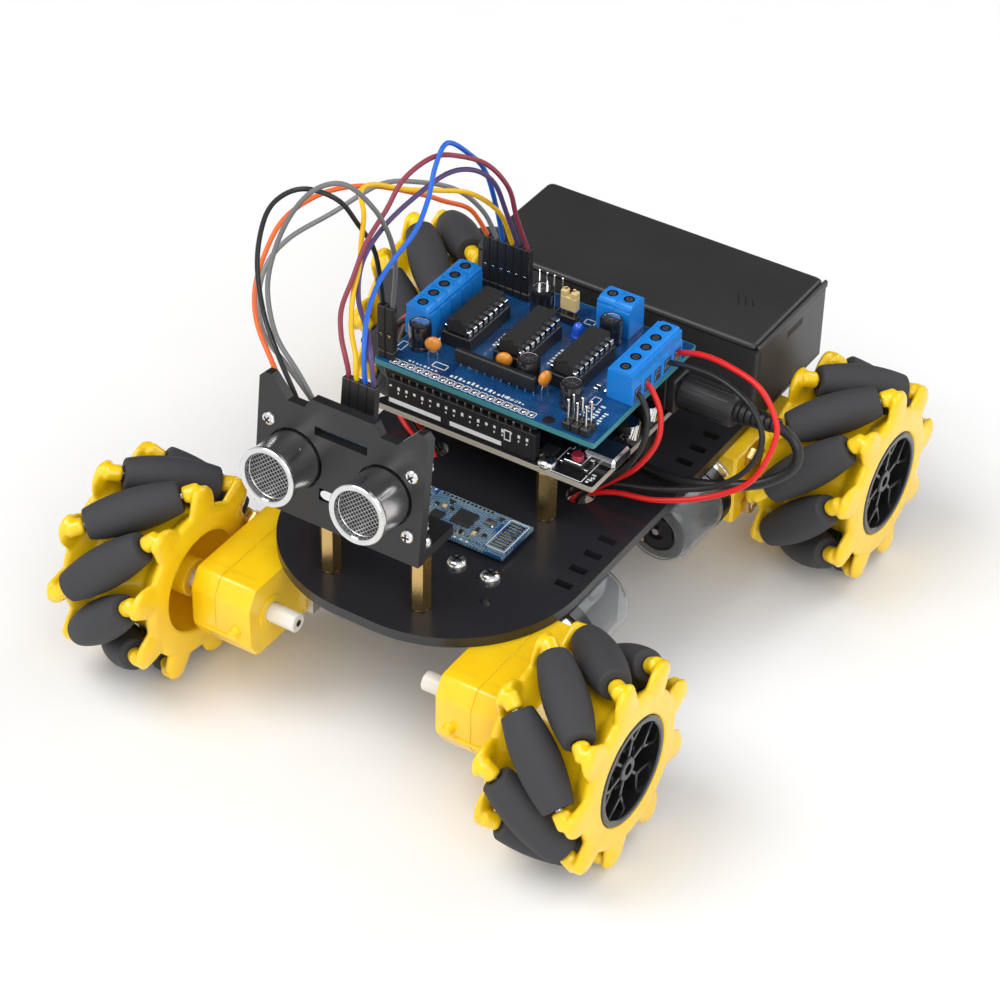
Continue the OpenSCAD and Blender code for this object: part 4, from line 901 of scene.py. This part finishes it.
def controller():
    p = Piece()
    z = BOARD
    circuit_board(p, z, MASK_BLACK, EDGE_PALE)
    # USB socket: a folded steel shell with a tongue, its mouth a dark sheet of painted shade
    p.box((26, -4.5, z), (35.55, 4.5, z + 3.25), STEEL, 0.9)
    p.box((35.45, -3.8, z + 0.55), (35.62, 3.8, z + 2.75), PAINTED_SHADE_AND_MARKS, 0.5)
    p.box((35.2, -3.2, z + 1.35), (35.7, 3.2, z + 1.95), BLACK, 0.1)
    for y in (-4.9, 4.5):
        p.box((27.5, y, z), (29.5, y + 0.4, z + 1.2), STEEL, 0.1)
    # Power socket, with a dark disc of painted shade in its mouth
    p.box((23.5, 26, z), (33.2, 34, z + 10.8), BLACK, 0.4)
    p.box((33, 26, z), (36, 34, z + 11), BLACK, 0.5)
    p.at = along("X", (0, 30, z + 6))
    p.turned([(3.15, 35.9), (3.2, 36.1), (3.8, 36.1), (3.9, 35.9)], BLACK, 32)
    p.turned([(0, 36.03), (3.1, 36.03), (3.15, 35.9)], PAINTED_SHADE_AND_MARKS, 32)
    p.at = Matrix.Identity(4)
    # Sockets for the shield, printed on their outer walls
    socket_strip(p, -30.9, 15.9, BOARD_FRONT + 2.55, z)
    socket_strip(p, -31, 14, BOARD_FRONT + 50.75, z)
    face = BOARD_FRONT + 1.28
    for x0, x1 in ((-30.4, -13.8), (-10.9, 5.4)):
        p.box((x0, face - 0.04, z + 0.9), (x1, face + 0.02, z + 2.3), WHITE, 0.01)
    for k in range(18):
        h = 0.5 + 0.6 * abs(math.sin(1.9 * k))
        x = -30.2 + 2.54 * k
        p.box((x, face - 0.04, z + 6.6 - h), (x + 0.75, face + 0.02, z + 6.6), WHITE, 0.01)
        if k % 3:
            p.box((x + 0.1, face - 0.04, z + 4.3), (x + 0.5, face + 0.02, z + 4.9), WHITE, 0.01)
    p.box((6.2, face - 0.05, z + 3.4), (8.3, face + 0.02, z + 6.8), WHITE, 0.01)
    p.box((6.5, face - 0.06, z + 3.8), (8.0, face + 0.02, z + 6.4), BLACK, 0.01)
    # Reset switch, capacitors, chips
    x, y = 25.4, BOARD_FRONT + 7.4
    p.box((x - 3, y - 3, z), (x + 3, y + 3, z + 1.6), BLACK, 0.2)
    p.box((x - 2.7, y - 2.7, z + 1.5), (x + 2.7, y + 2.7, z + 1.9), STEEL, 0.15)
    for s in (-1, 1):
        p.box((x + s * 3.6 - 0.6, y - 2.2, z), (x + s * 3.6 + 0.6, y - 1.5, z + 0.4), NICKEL, 0.08)
        p.box((x + s * 3.6 - 0.6, y + 1.5, z), (x + s * 3.6 + 0.6, y + 2.2, z + 0.4), NICKEL, 0.08)
    for cy in (10.5, 20.5):
        p.at = Matrix.Translation((31, cy, z))
        p.box((-3.3, -3.3, 0), (3.3, 3.3, 0.8), BLACK, 0.5)
        p.turned([(3.0, 0.7), (3.1, 1.0), (3.1, 5.0), (2.8, 5.5), (0, 5.6)], NICKEL, 32)
        p.turned([(3.13, 3.2), (3.15, 3.2), (3.15, 5.1), (2.9, 5.52), (0.1, 5.62)], PAINTED_SHADE_AND_MARKS, 16, 200, 110)
        p.at = Matrix.Identity(4)
    p.box((-14, 14, z), (20, 22, z + 4), CHIP, 0.4)
    for k in range(14):
        for s in (-1, 1):
            p.box((-12.9 + 2.54 * k, 18 + s * 4.5 - 0.5, z), (-12.3 + 2.54 * k, 18 + s * 4.5 + 0.5, z + 2.2),
                  NICKEL, 0.1)
    for x, y, w in ((17, -6.5, 4.2), (10, -5, 3.4), (-2, -6, 5.5), (-15, -5, 4.5)):
        p.box((x - w / 2, y - w / 2, z), (x + w / 2, y + w / 2, z + 1.1), CHIP, 0.12)
    small_parts(p, [(22.5, -2, 0), (22.5, 1.5, 0), (13, -8.5, 90), (4, -7.5, 90), (5.8, -7.5, 90),
                    (-8, -7, 0), (-20, -7, 90), (-22.5, -6, 90), (24, 8, 90), (24, 24, 0),
                    (16.5, -9.3, 0), (31.5, -10, 0)], z)
    # Printed frames near the corner
    print_frame(p, 20.2, BOARD_FRONT + 0.5, 30.6, BOARD_FRONT + 12, z)
    squiggle(p, 31.3, BOARD_FRONT + 1.3, z, 4, 1.15, 1.5, True)
    squiggle(p, 27.5, 5.6, z, 4, 1.0, 0.9)
    for k in range(18):
        p.at = Matrix.Translation((-30.5 + 3.1 * k, 0, z - 1.6)) @ Matrix.Diagonal((1, 1, -1, 1))
        for y in (BOARD_FRONT + 2.54, BOARD_FRONT + 50.8):
            p.ball((0, y, 0), (0.75, 0.75, 0.9), NICKEL, 8)
    p.at = Matrix.Identity(4)
    p.make("controller", "chassis", "controller_board", slot="black_board")
    b = Piece()
    b.at = Matrix.Translation((25.4, BOARD_FRONT + 7.4, z))
    b.turned([(0, 1.3), (1.65, 1.3), (1.7, 1.5), (1.7, 2.6), (1.5, 2.85), (0, 2.9)], RED, 28)
    b.make("reset_cap", "reset_button", "reset_button", slot="red_button")


def terminal_row(p, at, count):
    """Screw terminals along local Y with their wire mouths towards local +X."""
    hold, pitch = p.at, 5.2
    for k in range(count):
        cell = hold @ at @ Matrix.Translation((0, k * pitch, 0))
        outline = [(-4, 0), (4, 0), (4, 5.5), (2.7, 9.8), (2.3, 10), (-2.3, 10), (-2.7, 9.8), (-4, 8)]
        turn = Matrix(((1, 0, 0, 0), (0, 0, -1, 0), (0, 1, 0, 0), (0, 0, 0, 1)))
        p.at = cell @ Matrix.Translation((0, pitch - 0.06, 0)) @ turn
        p.prism(outline, 0, pitch - 0.12, TERMINAL, 0.12)
        p.at = cell @ Matrix.Translation((0, 0, 0))
        p.box((-3.8, 0, 0.4), (3.6, pitch, 9.4), TERMINAL, 0.05)
        p.at = cell @ Matrix.Translation((0, pitch / 2, 10))
        p.turned([(0, -0.02), (1.62, -0.02), (1.72, 0.03), (2.0, 0.05), (2.05, -0.1)], TERMINAL, 24)
        p.turned([(0, 0.0), (1.45, 0.0), (1.6, 0.04)], DARK_BLUE, 24)
        p.turned([(0, 0.02), (0.95, 0.02), (1.05, 0.0)], STEEL_DIM, 20)
        # The screw's slot is a dark bar of painted shade
        p.box((-0.95, -0.16, 0.0), (0.95, 0.16, 0.05), PAINTED_SHADE_AND_MARKS, 0.01)
        p.at = cell @ Matrix.Translation((4, pitch / 2, 0))
        p.box((-0.2, -1.75, 0.7), (0.04, 1.75, 4.9), DARK_BLUE, 0.05)
        p.box((-0.2, -1.25, 1.0), (0.06, 1.25, 3.1), STEEL, 0.15)
        p.box((-0.2, -1.0, 3.3), (0.07, 1.0, 4.2), STEEL, 0.1)
    p.at = hold


def driver_chip(p, x, y, z):
    """A chip of sixteen legs in its socket, with its notch towards the front."""
    p.box((x - 4.6, y, z), (x - 2.5, y + 20.4, z + 4.2), BLACK, 0.2)
    p.box((x + 2.5, y, z), (x + 4.6, y + 20.4, z + 4.2), BLACK, 0.2)
    for cy in (y, y + 9.4, y + 18.6):
        p.box((x - 2.7, cy, z), (x + 2.7, cy + 1.8, z + 4.1), BLACK, 0.2)
    hold = p.at
    p.at = hold @ Matrix.Translation((x, y + 10.2, 0))
    for s in (-1, 1):
        p.add([(s * 3.15, -9.6, z + 4.7), (s * 3.15, 9.6, z + 4.7),
               (s * 2.9, 9.6, z + 8.1), (s * 2.9, -9.6, z + 8.1),
               (0, -9.6, z + 4.7), (0, 9.6, z + 4.7), (0, 9.6, z + 8.1), (0, -9.6, z + 8.1)],
              [[0, 1, 2, 3], [3, 2, 6, 7], [0, 3, 7, 4], [1, 5, 6, 2], [0, 4, 5, 1]], CHIP)
        for k in range(8):
            ly = -8.89 + 2.54 * k
            p.box((s * 3.5 - 0.4, ly - 0.72, z + 5.5), (s * 3.5 + 0.45, ly + 0.72, z + 6.2), NICKEL, 0.12)
            p.box((s * 3.85 - 0.12, ly - 0.72, z + 4.3), (s * 3.85 + 0.14, ly + 0.72, z + 6.1), NICKEL, 0.08)
            # Dark slabs of painted shade stand for the socket's contact openings
            p.box((s * 3.55 - 0.75, ly - 0.45, z + 4.15), (s * 3.55 + 0.75, ly + 0.45, z + 4.24), PAINTED_SHADE_AND_MARKS, 0.02)
    # The notch is a dark half disc of painted shade
    p.at = hold @ Matrix.Translation((x, y + 0.6, z + 8.1))
    p.turned([(0, 0.015), (1.25, 0.015), (1.3, -0.02)], PAINTED_SHADE_AND_MARKS, 20, 0, 180)
    p.at = hold @ Matrix.Translation((x - 1.9, y + 2.6, z + 8.1))
    p.turned([(0, 0.015), (0.45, 0.015), (0.5, -0.02)], BLACK, 16)
    p.at = hold


def can_capacitor(p, x, y, z):
    hold = p.at
    p.at = hold @ Matrix.Translation((x, y, z))
    p.turned([(0, 0), (2.9, 0), (3.15, 0.3), (3.15, 0.9), (2.95, 1.2), (3.15, 1.5), (3.15, 7.1), (3.0, 7.45),
              (2.45, 7.55)], SLEEVE, 36)
    p.turned([(2.5, 7.54), (2.45, 7.42), (0, 7.4)], NICKEL, 36)
    for a in (0, math.pi / 3, 2 * math.pi / 3):
        p.at = hold @ Matrix.Translation((x, y, z)) @ Matrix.Rotation(a, 4, "Z")
        p.box((-1.9, -0.07, 7.38), (1.9, 0.07, 7.42), STEEL_DIM, 0.01)
    p.at = hold @ Matrix.Translation((x, y, z))
    p.turned([(3.14, 1.7), (3.17, 1.75), (3.17, 6.9), (3.14, 7.0)], PALE_BAND, 8, 100, 50)
    p.at = hold


def disc_capacitor(p, x, y, z, turn):
    hold = p.at
    p.at = hold @ Matrix.Translation((x, y, z)) @ Matrix.Rotation(math.radians(turn), 4, "Z")
    for s in (-1, 1):
        p.tube([(s * 1.2, 0, -0.2), (s * 1.2, 0, 1.2), (s * 0.8, 0, 2.2), (s * 0.6, 0, 3.0)], 0.26, NICKEL, 8)
    p.ball((0, 0, 4.4), (2.3, 1.35, 2.2), ORANGE, 22)
    p.ball((0, 0, 2.9), (1.15, 0.8, 1.3), ORANGE, 16)
    p.at = hold


def pin_row(p, spots, z0, z1, base=None, w=0.32):
    for x, y in spots:
        if base:
            p.box((x - 1.22, y - 1.22, base[0]), (x + 1.22, y + 1.22, base[1]), BLACK, 0.3)
        p.box((x - w, y - w, z0), (x + w, y + w, z1), NICKEL, 0.18)


def drive_shield():
    p = Piece()
    z = SHIELD
    circuit_board(p, z, SHIELD_BLUE, SHIELD_EDGE, [(19.06, BOARD_FRONT + 2.54)])
    for x in (-18.7, -2.2, 14.6):
        driver_chip(p, x, 2.2, z)
    for x, y in ((-27.2, -2.1), (-9.1, 30.2), (5.4, 0.6), (20.6, -2.4), (14.1, 28.3)):
        can_capacitor(p, x, y, z)
    for x, y, turn in ((-21.4, -4.6, 25), (-1.9, 0.0, 20), (11.5, -1.1, 80)):
        disc_capacitor(p, x, y, z, turn)
    # The resistor network with its row of legs
    p.box((-15, -4.2, z + 0.8), (10, -2.4, z + 5.2), BLACK, 0.35)
    for k in range(10):
        p.box((-13.7 + 2.54 * k, -3.5, z), (-13.2 + 2.54 * k, -3.1, z + 1), NICKEL, 0.1)
    # Servo pins, rear pins, jumper cap, LED
    servo_pins = [(24.9 + 2.7 * i, -11.3 + 2.6 * j) for i in range(3) for j in range(2)]
    pin_row(p, servo_pins, z, z + 9.4, (z, z + 2.5))
    pin_row(p, [(-11.3, 32.5), (-8.8, 32.5), (-6.5, 32.5), (-3.9, 32.5)], z, z + 11.4, (z, z + 0.4), 0.26)
    wire_pins = [(-28 + 2.54 * k, 32.5) for k in range(6)] + [(-33, -11), (-30.4, -11)]
    pin_row(p, wire_pins, z, z + 2.6, (z, z + 2.4))
    p.box((-2.4, 28.6, z), (2.6, 31.2, z + 2.5), BLACK, 0.3)
    for x in (-1.2, 1.4):
        p.box((x - 0.32, 29.6, z), (x + 0.32, 30.3, z + 11.2), BRASS, 0.12)
    p.box((-2.4, 28.8, z + 4.2), (2.6, 31.0, z + 8.6), CREAM, 0.25)
    p.box((-2.4, 28.8, z + 8.4), (-0.5, 31.0, z + 10.4), CREAM, 0.3)
    p.box((0.7, 28.8, z + 8.4), (2.6, 31.0, z + 10.4), CREAM, 0.3)
    p.at = Matrix.Translation((5.9, 24.8, z))
    p.turned([(0, 0), (1.8, 0), (1.8, 0.9), (1.5, 1.0), (1.5, 3.3), (1.2, 4.2), (0.6, 4.7), (0, 4.85)],
             LED_BLUE, 24)
    p.at = Matrix.Identity(4)
    terminal_row(p, Matrix.Translation((30.1, 6, z)), 5)
    terminal_row(p, Matrix.Translation((-30.1, 27, z)) @ Matrix.Rotation(math.pi, 4, "Z"), 5)
    terminal_row(p, Matrix.Translation((7.4, 35.6, z)) @ Matrix.Rotation(-math.pi / 2, 4, "Z")
                 @ Matrix.Diagonal((-1, 1, 1, 1)), 2)
    # Pads in printed frames along the front edge
    for x0, count in ((-28.9, 7), (-11.3, 11)):
        for k in range(count):
            x = x0 + 2.54 * k
            print_frame(p, x - 1.15, BOARD_FRONT + 0.8, x + 1.15, BOARD_FRONT + 3.2, z, 0.22)
            print_bar(p, x - 0.75, BOARD_FRONT + 1.3, x + 0.75, BOARD_FRONT + 2.8, z + 0.01, STEEL_DIM)
            p.at = Matrix.Translation((x, BOARD_FRONT + 2.05, z))
            p.turned([(0, 0.3), (0.35, 0.25), (0.62, 0.02)], NICKEL, 12)
            p.at = Matrix.Identity(4)
    # Legs of the terminals and strips
    for k in range(5):
        for s, y in ((1, 8.6), (-1, 3.6)):
            p.at = Matrix.Translation((s * 24.6, y + 5.2 * k, z))
            p.turned([(0, 0.5), (0.4, 0.4), (0.8, 0.02)], NICKEL, 12)
    p.at = Matrix.Identity(4)
    # Generic small print
    squiggle(p, -13, BOARD_FRONT + 4.2, z, 16, 1.35, 1.3)
    squiggle(p, 4, BOARD_FRONT + 4.4, z, 6, 1.1, 0.8)
    squiggle(p, -26, BOARD_FRONT + 4.0, z, 8, 1.2, 0.7)
    squiggle(p, 27.2, -5.2, z, 6, 1.3, 1.5, True)
    squiggle(p, 24.4, -4.6, z, 5, 1.2, 1.4, True)
    squiggle(p, 29.6, -5.6, z, 5, 1.2, 1.2, True)
    squiggle(p, 21.2, 16, z, 6, 1.1, 1.3, True)
    squiggle(p, 5.2, 10, z, 6, 1.4, 1.1, True)
    squiggle(p, -11.4, 9, z, 5, 1.4, 1.1, True)
    squiggle(p, -33, 29, z, 5, 1.0, 1.0)
    for frame_box in ((-32.4, -6.6, -30.2, -2.4), (-19.8, -8.0, -15.4, -5.6), (23.6, 1.2, 26, 4.6),
                      (3.4, 31.6, 6.6, 34), (-33.2, -8.4, -31, -7.0), (24.2, -2.2, 26.4, 0.4)):
        print_frame(p, *frame_box, z)
    small_parts(p, [(-24.5, 29, 0), (24.6, 33.5, 90), (-24, 35.5, 0), (22.3, 8, 90)], z)
    # Pin strips under the board that plug into the controller
    for x0, x1, y in ((-30.9, 15.9, BOARD_FRONT + 2.55), (-31, 14, BOARD_FRONT + 50.75)):
        p.box((x0, y - 1.25, z - 4.1), (x1, y + 1.25, z - 1.6), BLACK, 0.2)
        for k in range(int((x1 - x0) / 2.54)):
            cx = x0 + (k + 0.5) * 2.54
            p.box((cx - 0.3, y - 0.3, BOARD + 8.5), (cx + 0.3, y + 0.3, z - 4), NICKEL, 0.05)
    p.make("shield", "chassis", "drive_shield", slot="blue_board")


# ---------------------------------------------------------------- distance sensor, radio board
def sensor_panel():
    """The eared panel keeps its CAD shape and gets its satin finish."""
    paint("sensor_bracket", SATIN)


def distance_sensor():
    p = Piece()
    hold = panel_frame()
    p.at = hold
    y0 = 3.3
    p.box((-22.8, y0, EYE_H - 10.3), (22.8, y0 + 1.6, EYE_H + 10.3), RADIO_BLUE, 0.1)
    p.box((-22.82, y0 + 0.3, EYE_H - 10.32), (22.82, y0 + 1.3, EYE_H + 10.32), SHIELD_EDGE, 0.05)
    for s in (-1, 1):
        p.at = hold @ along("-Y", (s * CAN_GAP / 2, y0, EYE_H))
        p.turned([(0, 0), (8.0, 0), (8.0, 13.6), (8.15, 14.2), (8.3, 14.4), (8.3, 15.2), (8.1, 15.45),
                  (7.1, 15.5), (6.75, 15.3), (6.65, 14.4), (6.6, 13.6), (6.4, 13.4)], CAN_METAL, 96)
        p.turned([(0, 13.95), (6.0, 13.75), (6.62, 13.4)], GAUZE, 64)
        p.box((-1.1, -8.1, 15.0), (1.1, -6.3, 15.52), CAN_METAL, 0.2)
        p.at = hold
        for a in (-1, 1):
            p.box((s * CAN_GAP / 2 + a * 2.5 - 0.4, y0 + 1.5, EYE_H - 0.4),
                  (s * CAN_GAP / 2 + a * 2.5 + 0.4, y0 + 2.6, EYE_H + 0.4), NICKEL, 0.15)
    p.box((-5.1, y0 + 1.6, EYE_H + 7.6), (5.1, y0 + 4.1, EYE_H + 10.1), BLACK, 0.2)
    for k in range(4):
        x = -3.81 + 2.54 * k
        p.box((x - 0.3, y0 + 2.55, EYE_H + 10), (x + 0.3, y0 + 3.15, EYE_H + 10.6), NICKEL, 0.05)
    p.box((-7, y0 + 1.6, EYE_H - 6), (-0.5, y0 + 2.9, EYE_H - 1.5), CHIP, 0.15)
    p.box((1.5, y0 + 1.6, EYE_H - 6), (7, y0 + 2.9, EYE_H - 1.5), CHIP, 0.15)
    p.box((-3, y0 + 1.6, EYE_H + 0.5), (3, y0 + 2.9, EYE_H + 4), CHIP, 0.15)
    # The crystal shows through the panel's window
    p.at = hold @ along("-Y", (-1.5, y0, EYE_H - 7.2))
    outline = [(2.6 * math.cos(a) + (2.6 if math.cos(a) > 0 else -2.6), 1.45 * math.sin(a))
               for a in [2 * math.pi * k / 20 + 0.01 for k in range(20)]]
    p.prism([(x * 0.78, y) for x, y in outline], 0, 3.1, NICKEL, 0.35)
    p.make("distance_sensor_body", "chassis", "distance_sensor", slot="sensor_aluminium")


def radio_board():
    p = Piece()
    z = DECK + 2.4
    x0, x1, y0, y1 = -16.0, 20.5, -35.0, -19.5
    p.box((-14, -34, DECK), (18, -20.5, DECK + 1.25), BLACK, 0.1)
    p.box((x0, y0, z - 1.15), (x1, y1, z), RADIO_BLUE, 0.1)
    p.box((-8, -33.8, z), (x1, -20.7, z + 0.8), RADIO_BLUE, 0.08)
    top = z + 0.8
    p.box((-17.6, -32.5, z), (-15, -22.2, z + 2.5), BLACK, 0.2)
    for y in (-31, -28.5, -26, -23.5):
        p.box((-18.2, y - 0.3, z + 1.1), (-17.4, y + 0.3, z + 1.7), NICKEL, 0.05)
    p.box((1.2, -30.6, top), (7.0, -24.8, top + 0.9), CHIP, 0.15)
    for k in range(7):
        t = 0.78 * k
        for a, b, c, d in ((1.6 + t, -31.0, 1.95 + t, -30.5), (1.6 + t, -24.9, 1.95 + t, -24.4),
                           (0.8, -30.3 + t, 1.3, -29.95 + t), (6.9, -30.3 + t, 7.4, -29.95 + t)):
            p.box((a, b, top), (c, d, top + 0.25), NICKEL, 0.03)
    p.box((9.2, -27.0, top), (12.4, -24.2, top + 0.8), NICKEL, 0.3)
    p.box((-4.6, -31.5, top), (-1.2, -28.7, top + 0.9), CHIP, 0.12)
    small_parts(p, [(-5.5, -26.4, 90), (-3.2, -26.2, 90), (-1, -26.2, 90), (9.6, -29.6, 0), (9.6, -31.5, 0),
                    (12.4, -31, 90), (-2.4, -23.6, 0), (3, -32.6, 0), (6.2, -32.6, 0), (12.5, -22.6, 0),
                    (-6.6, -29.5, 90)], top)
    # Castellated pads along both long edges
    for k in range(13):
        for y in (-33.7, -21.7):
            p.box((-6.9 + 1.27 * k, y, top - 0.02), (-6.2 + 1.27 * k, y + 0.9, top + 0.05), BRASS, 0.02)
        for y in (-34.7, -20.5):
            print_bar(p, -14 + 1.9 * k, y, -13.3 + 1.9 * k, y + 0.6, z)
    for k in range(4):
        print_bar(p, -13.6, -31.4 + 2.5 * k, -11.4, -30.2 + 2.5 * k, z)
        p.at = Matrix.Translation((-10.2, -30.8 + 2.5 * k, z))
        p.turned([(0, 0.5), (0.5, 0.35), (0.8, 0.02)], NICKEL, 12)
        p.at = Matrix.Identity(4)
    # The antenna's folded track at the free end
    for k in range(5):
        y = -32.8 + 2.3 * k
        p.box((15.2, y, top), (19.6, y + 0.55, top + 0.05), BRASS, 0.02)
        p.box((15.2, y + 1.15, top), (19.6, y + 1.7, top + 0.05), BRASS, 0.02)
        p.box((19.1, y, top), (19.6, y + 1.7, top + 0.05), BRASS, 0.02)
        if k < 4:
            p.box((15.2, y + 1.15, top), (15.7, y + 2.85, top + 0.05), BRASS, 0.02)
    print_frame(p, 14.4, -33.6, 20.3, -20.9, top, 0.22)
    p.make("radio", "chassis", "wireless_board", slot="radio_board")


# ---------------------------------------------------------------- posts, screws and deck
def hex_post(p, x, y, z0, z1, w=5.0):
    """A brass hexagon post with turned ends."""
    hold = p.at
    p.at = hold @ Matrix.Translation((x, y, 0))
    r = w / 2 / math.cos(math.pi / 6)
    p.turned([(0, z0), (r - 0.35, z0), (r, z0 + 0.35), (r, z1 - 0.35), (r - 0.35, z1), (0, z1)], BRASS, 6, 15)
    p.turned([(2.5, z0 + 0.02), (2.55, z0 + 0.3), (2.5, z0 + 0.4)], BRASS, 24)
    p.at = hold


def posts_and_screws():
    p = Piece()
    for x, y in POSTS:
        hex_post(p, x, y, DECK, PANEL[2])
        p.screw(x, y, PANEL[2] + 3, 2.8, turn=10 + 30 * x)
    for k, (x, y) in enumerate(BOARD_HOLES):
        hex_post(p, x, y, DECK, BOARD - 1.6)
        p.screw(x, y, BOARD, 2.8, turn=35 * k)
    for k, (x, y) in enumerate(BOLTS):
        p.screw(x, y, DECK, 2.8, turn=25 + 37 * k)
        p.at = Matrix.Translation((x, y, 0))
        p.rod(1.5, 37.25, DECK, STEEL)
        p.at = Matrix.Identity(4)
    under = Matrix.Translation((0, 0, 2 * 41.25)) @ Matrix.Diagonal((1, 1, -1, 1))
    for k, (x, y) in enumerate(POSTS + BOARD_HOLES):
        p.at = under
        p.screw(x, y, 41.25, 2.8, turn=20 * k)
    for _, sx, sy in CORNERS:
        for z in (-8, 8):
            p.at = corner_frame(sx, sy) @ along("X", (26.8, -49.8, WHEEL_R + z))
            p.rod(1.5, 0, 24, STEEL, 0.3)
            for k in range(6):
                t = 0.45 * k
                p.turned([(1.48, 21.2 + t), (1.56, 21.4 + t), (1.48, 21.6 + t)], STEEL, 16)
            p.turned([(1.6, 21), (2.95, 21), (3.17, 21.3), (3.17, 23.1), (2.95, 23.4), (1.6, 23.4)], BRASS, 6)
            p.turned([(0, 0.1), (0.5, 0.1), (0.55, 0.0), (2.25, 0.05), (2.4, 0.2), (1.5, 1.2)], STEEL, 24)
    for k, (u, v) in enumerate([(u, EYE_H + v) for u in (-21.8, 21.8) for v in (-8.8, 8.8)]):
        p.at = panel_frame() @ along("-Y", (u, 0, v))
        p.screw(0, 0, 0, 1.9, turn=15 + 40 * k)
        p.at = panel_frame() @ along("Y", (u, 0, v))
        p.rod(1.0, 0, 8, STEEL, 0.2, 16)
        p.turned([(1.05, 4.9), (2.0, 4.9), (2.3, 5.1), (2.3, 6.2), (2.0, 6.4), (1.05, 6.4)], STEEL, 6)
    p.make("posts_and_fasteners", "chassis", "posts_and_screws", slot="brass")


def deck():
    paint("chassis_plate", ACRYLIC)
    paint("motor_brackets", ALUMINIUM)


# ---------------------------------------------------------------- battery box
def shell(p, lo, hi, mat, r, z_round=1.0):
    """A block whose four upright edges are rounded and whose top and bottom edges are softened."""
    outline = rounded([(lo[0], lo[1]), (hi[0], lo[1]), (hi[0], hi[1]), (lo[0], hi[1])], r, 5)
    cx, cy = (lo[0] + hi[0]) / 2, (lo[1] + hi[1]) / 2

    def row(inset, z):
        fx, fy = 1 - inset / (hi[0] - cx), 1 - inset / (hi[1] - cy)
        return [(cx + (x - cx) * fx, cy + (y - cy) * fy, z) for x, y in outline]

    rows = [row(z_round * 0.5, lo[2]), row(0, lo[2] + z_round * 0.5)]
    for a in (0, 0.4, 0.8, 1.2, 1.57):
        rows.append(row(z_round * (1 - math.cos(a)), hi[2] - z_round * (1 - math.sin(a))))
    n = len(outline)
    verts = [v for line in rows for v in line]
    faces = [list(range(n))[::-1], [len(verts) - n + k for k in range(n)]]
    for i in range(len(rows) - 1):
        faces += [[i * n + k, i * n + (k + 1) % n, (i + 1) * n + (k + 1) % n, (i + 1) * n + k]
                  for k in range(n)]
    p.add(verts, faces, mat)


def battery_box():
    x0, x1, y0, y1 = -BOX_L / 2, BOX_L / 2, BOX_Y, BOX_Y + BOX_W
    top, seam = BOX_Z + BOX_H, BOX_Z + BOX_H - 2
    wall = 1.6
    p = Piece()
    # Floor and walls, so that the bay shows when the cover is off
    shell(p, (x0, y0, BOX_Z), (x1, y1, BOX_Z + wall), CASE, 2.0, 0.6)
    outline = rounded([(x0, y0), (x1, y0), (x1, y1), (x0, y1)], 2.0, 5)
    inner = [(x * (1 - wall / (BOX_L / 2)), 74.7 + (y - 74.7) * (1 - wall / (BOX_W / 2))) for x, y in outline]
    n = len(outline)
    verts = [(*q, z) for q in outline for z in (BOX_Z + 0.8, seam)] + [(*q, z) for q in inner
                                                                      for z in (BOX_Z + 0.8, seam)]
    faces = []
    for k in range(n):
        a, b = 2 * k, 2 * ((k + 1) % n)
        c, d = 2 * n + a, 2 * n + b
        faces += [[a, b, b + 1, a + 1], [c, c + 1, d + 1, d], [a + 1, b + 1, d + 1, c + 1], [a, c, d, b]]
    p.add(verts, faces, CASE)
    p.box((x1 - 1.25, y0 + 0.05, seam - 0.5), (x1, y1 - 0.05, top), CASE, 0.5)
    p.box((-40, BOX_Y + 4, DECK), (40, 89, BOX_Z), BLACK, 0.2)
    # Latch slot in the end wall, its opening a dark patch of painted shade, and the end wall's own seam
    p.box((x1 - 0.3, y0 + 16, top - 6.5), (x1 + 0.02, y0 + 25.5, top - 4), PAINTED_SHADE_AND_MARKS, 0.2)
    p.box((x1 - 0.2, y0 + 15.4, top - 7.1), (x1 + 0.01, y0 + 26.1, top - 6.6), CASE, 0.1)
    p.box((x1 - 0.3, y0 + 1.4, seam - 0.16), (x1 + 0.015, y1 - 1.4, seam + 0.02), PAINTED_SHADE_AND_MARKS, 0.05)
    p.make("battery_case_body", "chassis", "battery_case", slot="battery_plastic")
    c = Piece()
    shell(c, (x0, y0, seam + 0.06), (x1 - 1.4, y1, top), CASE, 2.0, 1.3)
    # Three grooves on the cover, drawn as dark strips of painted shade
    for k in range(3):
        y = y0 + 14.2 + 0.9 * k
        c.at = (Matrix.Translation((x1 - 16.5 + 2.3 * k, y0 + 17.5, top))
                @ Matrix.Rotation(math.radians(28), 4, "Z"))
        c.box((-0.28, -3.4 + 0.9 * k, -0.15), (0.28, 2.2, 0.01), PAINTED_SHADE_AND_MARKS, 0.08)
    c.at = Matrix.Identity(4)
    for y in (y0 + 1.7, y1 - 2.7):
        c.box((x0 + 3.8, y, seam - 1.15), (x1 - 8, y + 1, seam + 0.2), CASE, 0.2)
    c.make("battery_cover", "battery_lid", "battery_lid", slot="battery_plastic")
    cells = Piece()
    for s in (-1, 1):
        cells.at = along("X", (0, 74.7 + s * 9.17, BOX_Z + wall + 9.15))
        cells.turned([(0, -41), (8.2, -41), (9.0, -40.6), (9.14, -39.8), (9.14, 22.8), (9.0, 23.6), (8.2, 24),
                      (5.2, 24), (5.0, 25.8), (4.6, 26), (0, 26)], CELL, 48)
        cells.turned([(0, -42.4), (3.2, -42.4), (3.5, -42), (3.5, -41), (0, -41)], STEEL, 24)
        cells.turned([(9.15, -20), (9.16, -19.9), (9.16, 5), (9.15, 5.1)], WHITE, 40)
    cells.make("cells", "chassis", "battery_cells", slot="cell_wrap")


# ---------------------------------------------------------------- the whole
set_camera()
jumper_wires()
motor_leads()
housings()
power_plug()
set_stage()
deck()
wheels()
gearboxes()
motors()
controller()
drive_shield()
sensor_panel()
distance_sensor()
radio_board()
posts_and_screws()
battery_box()
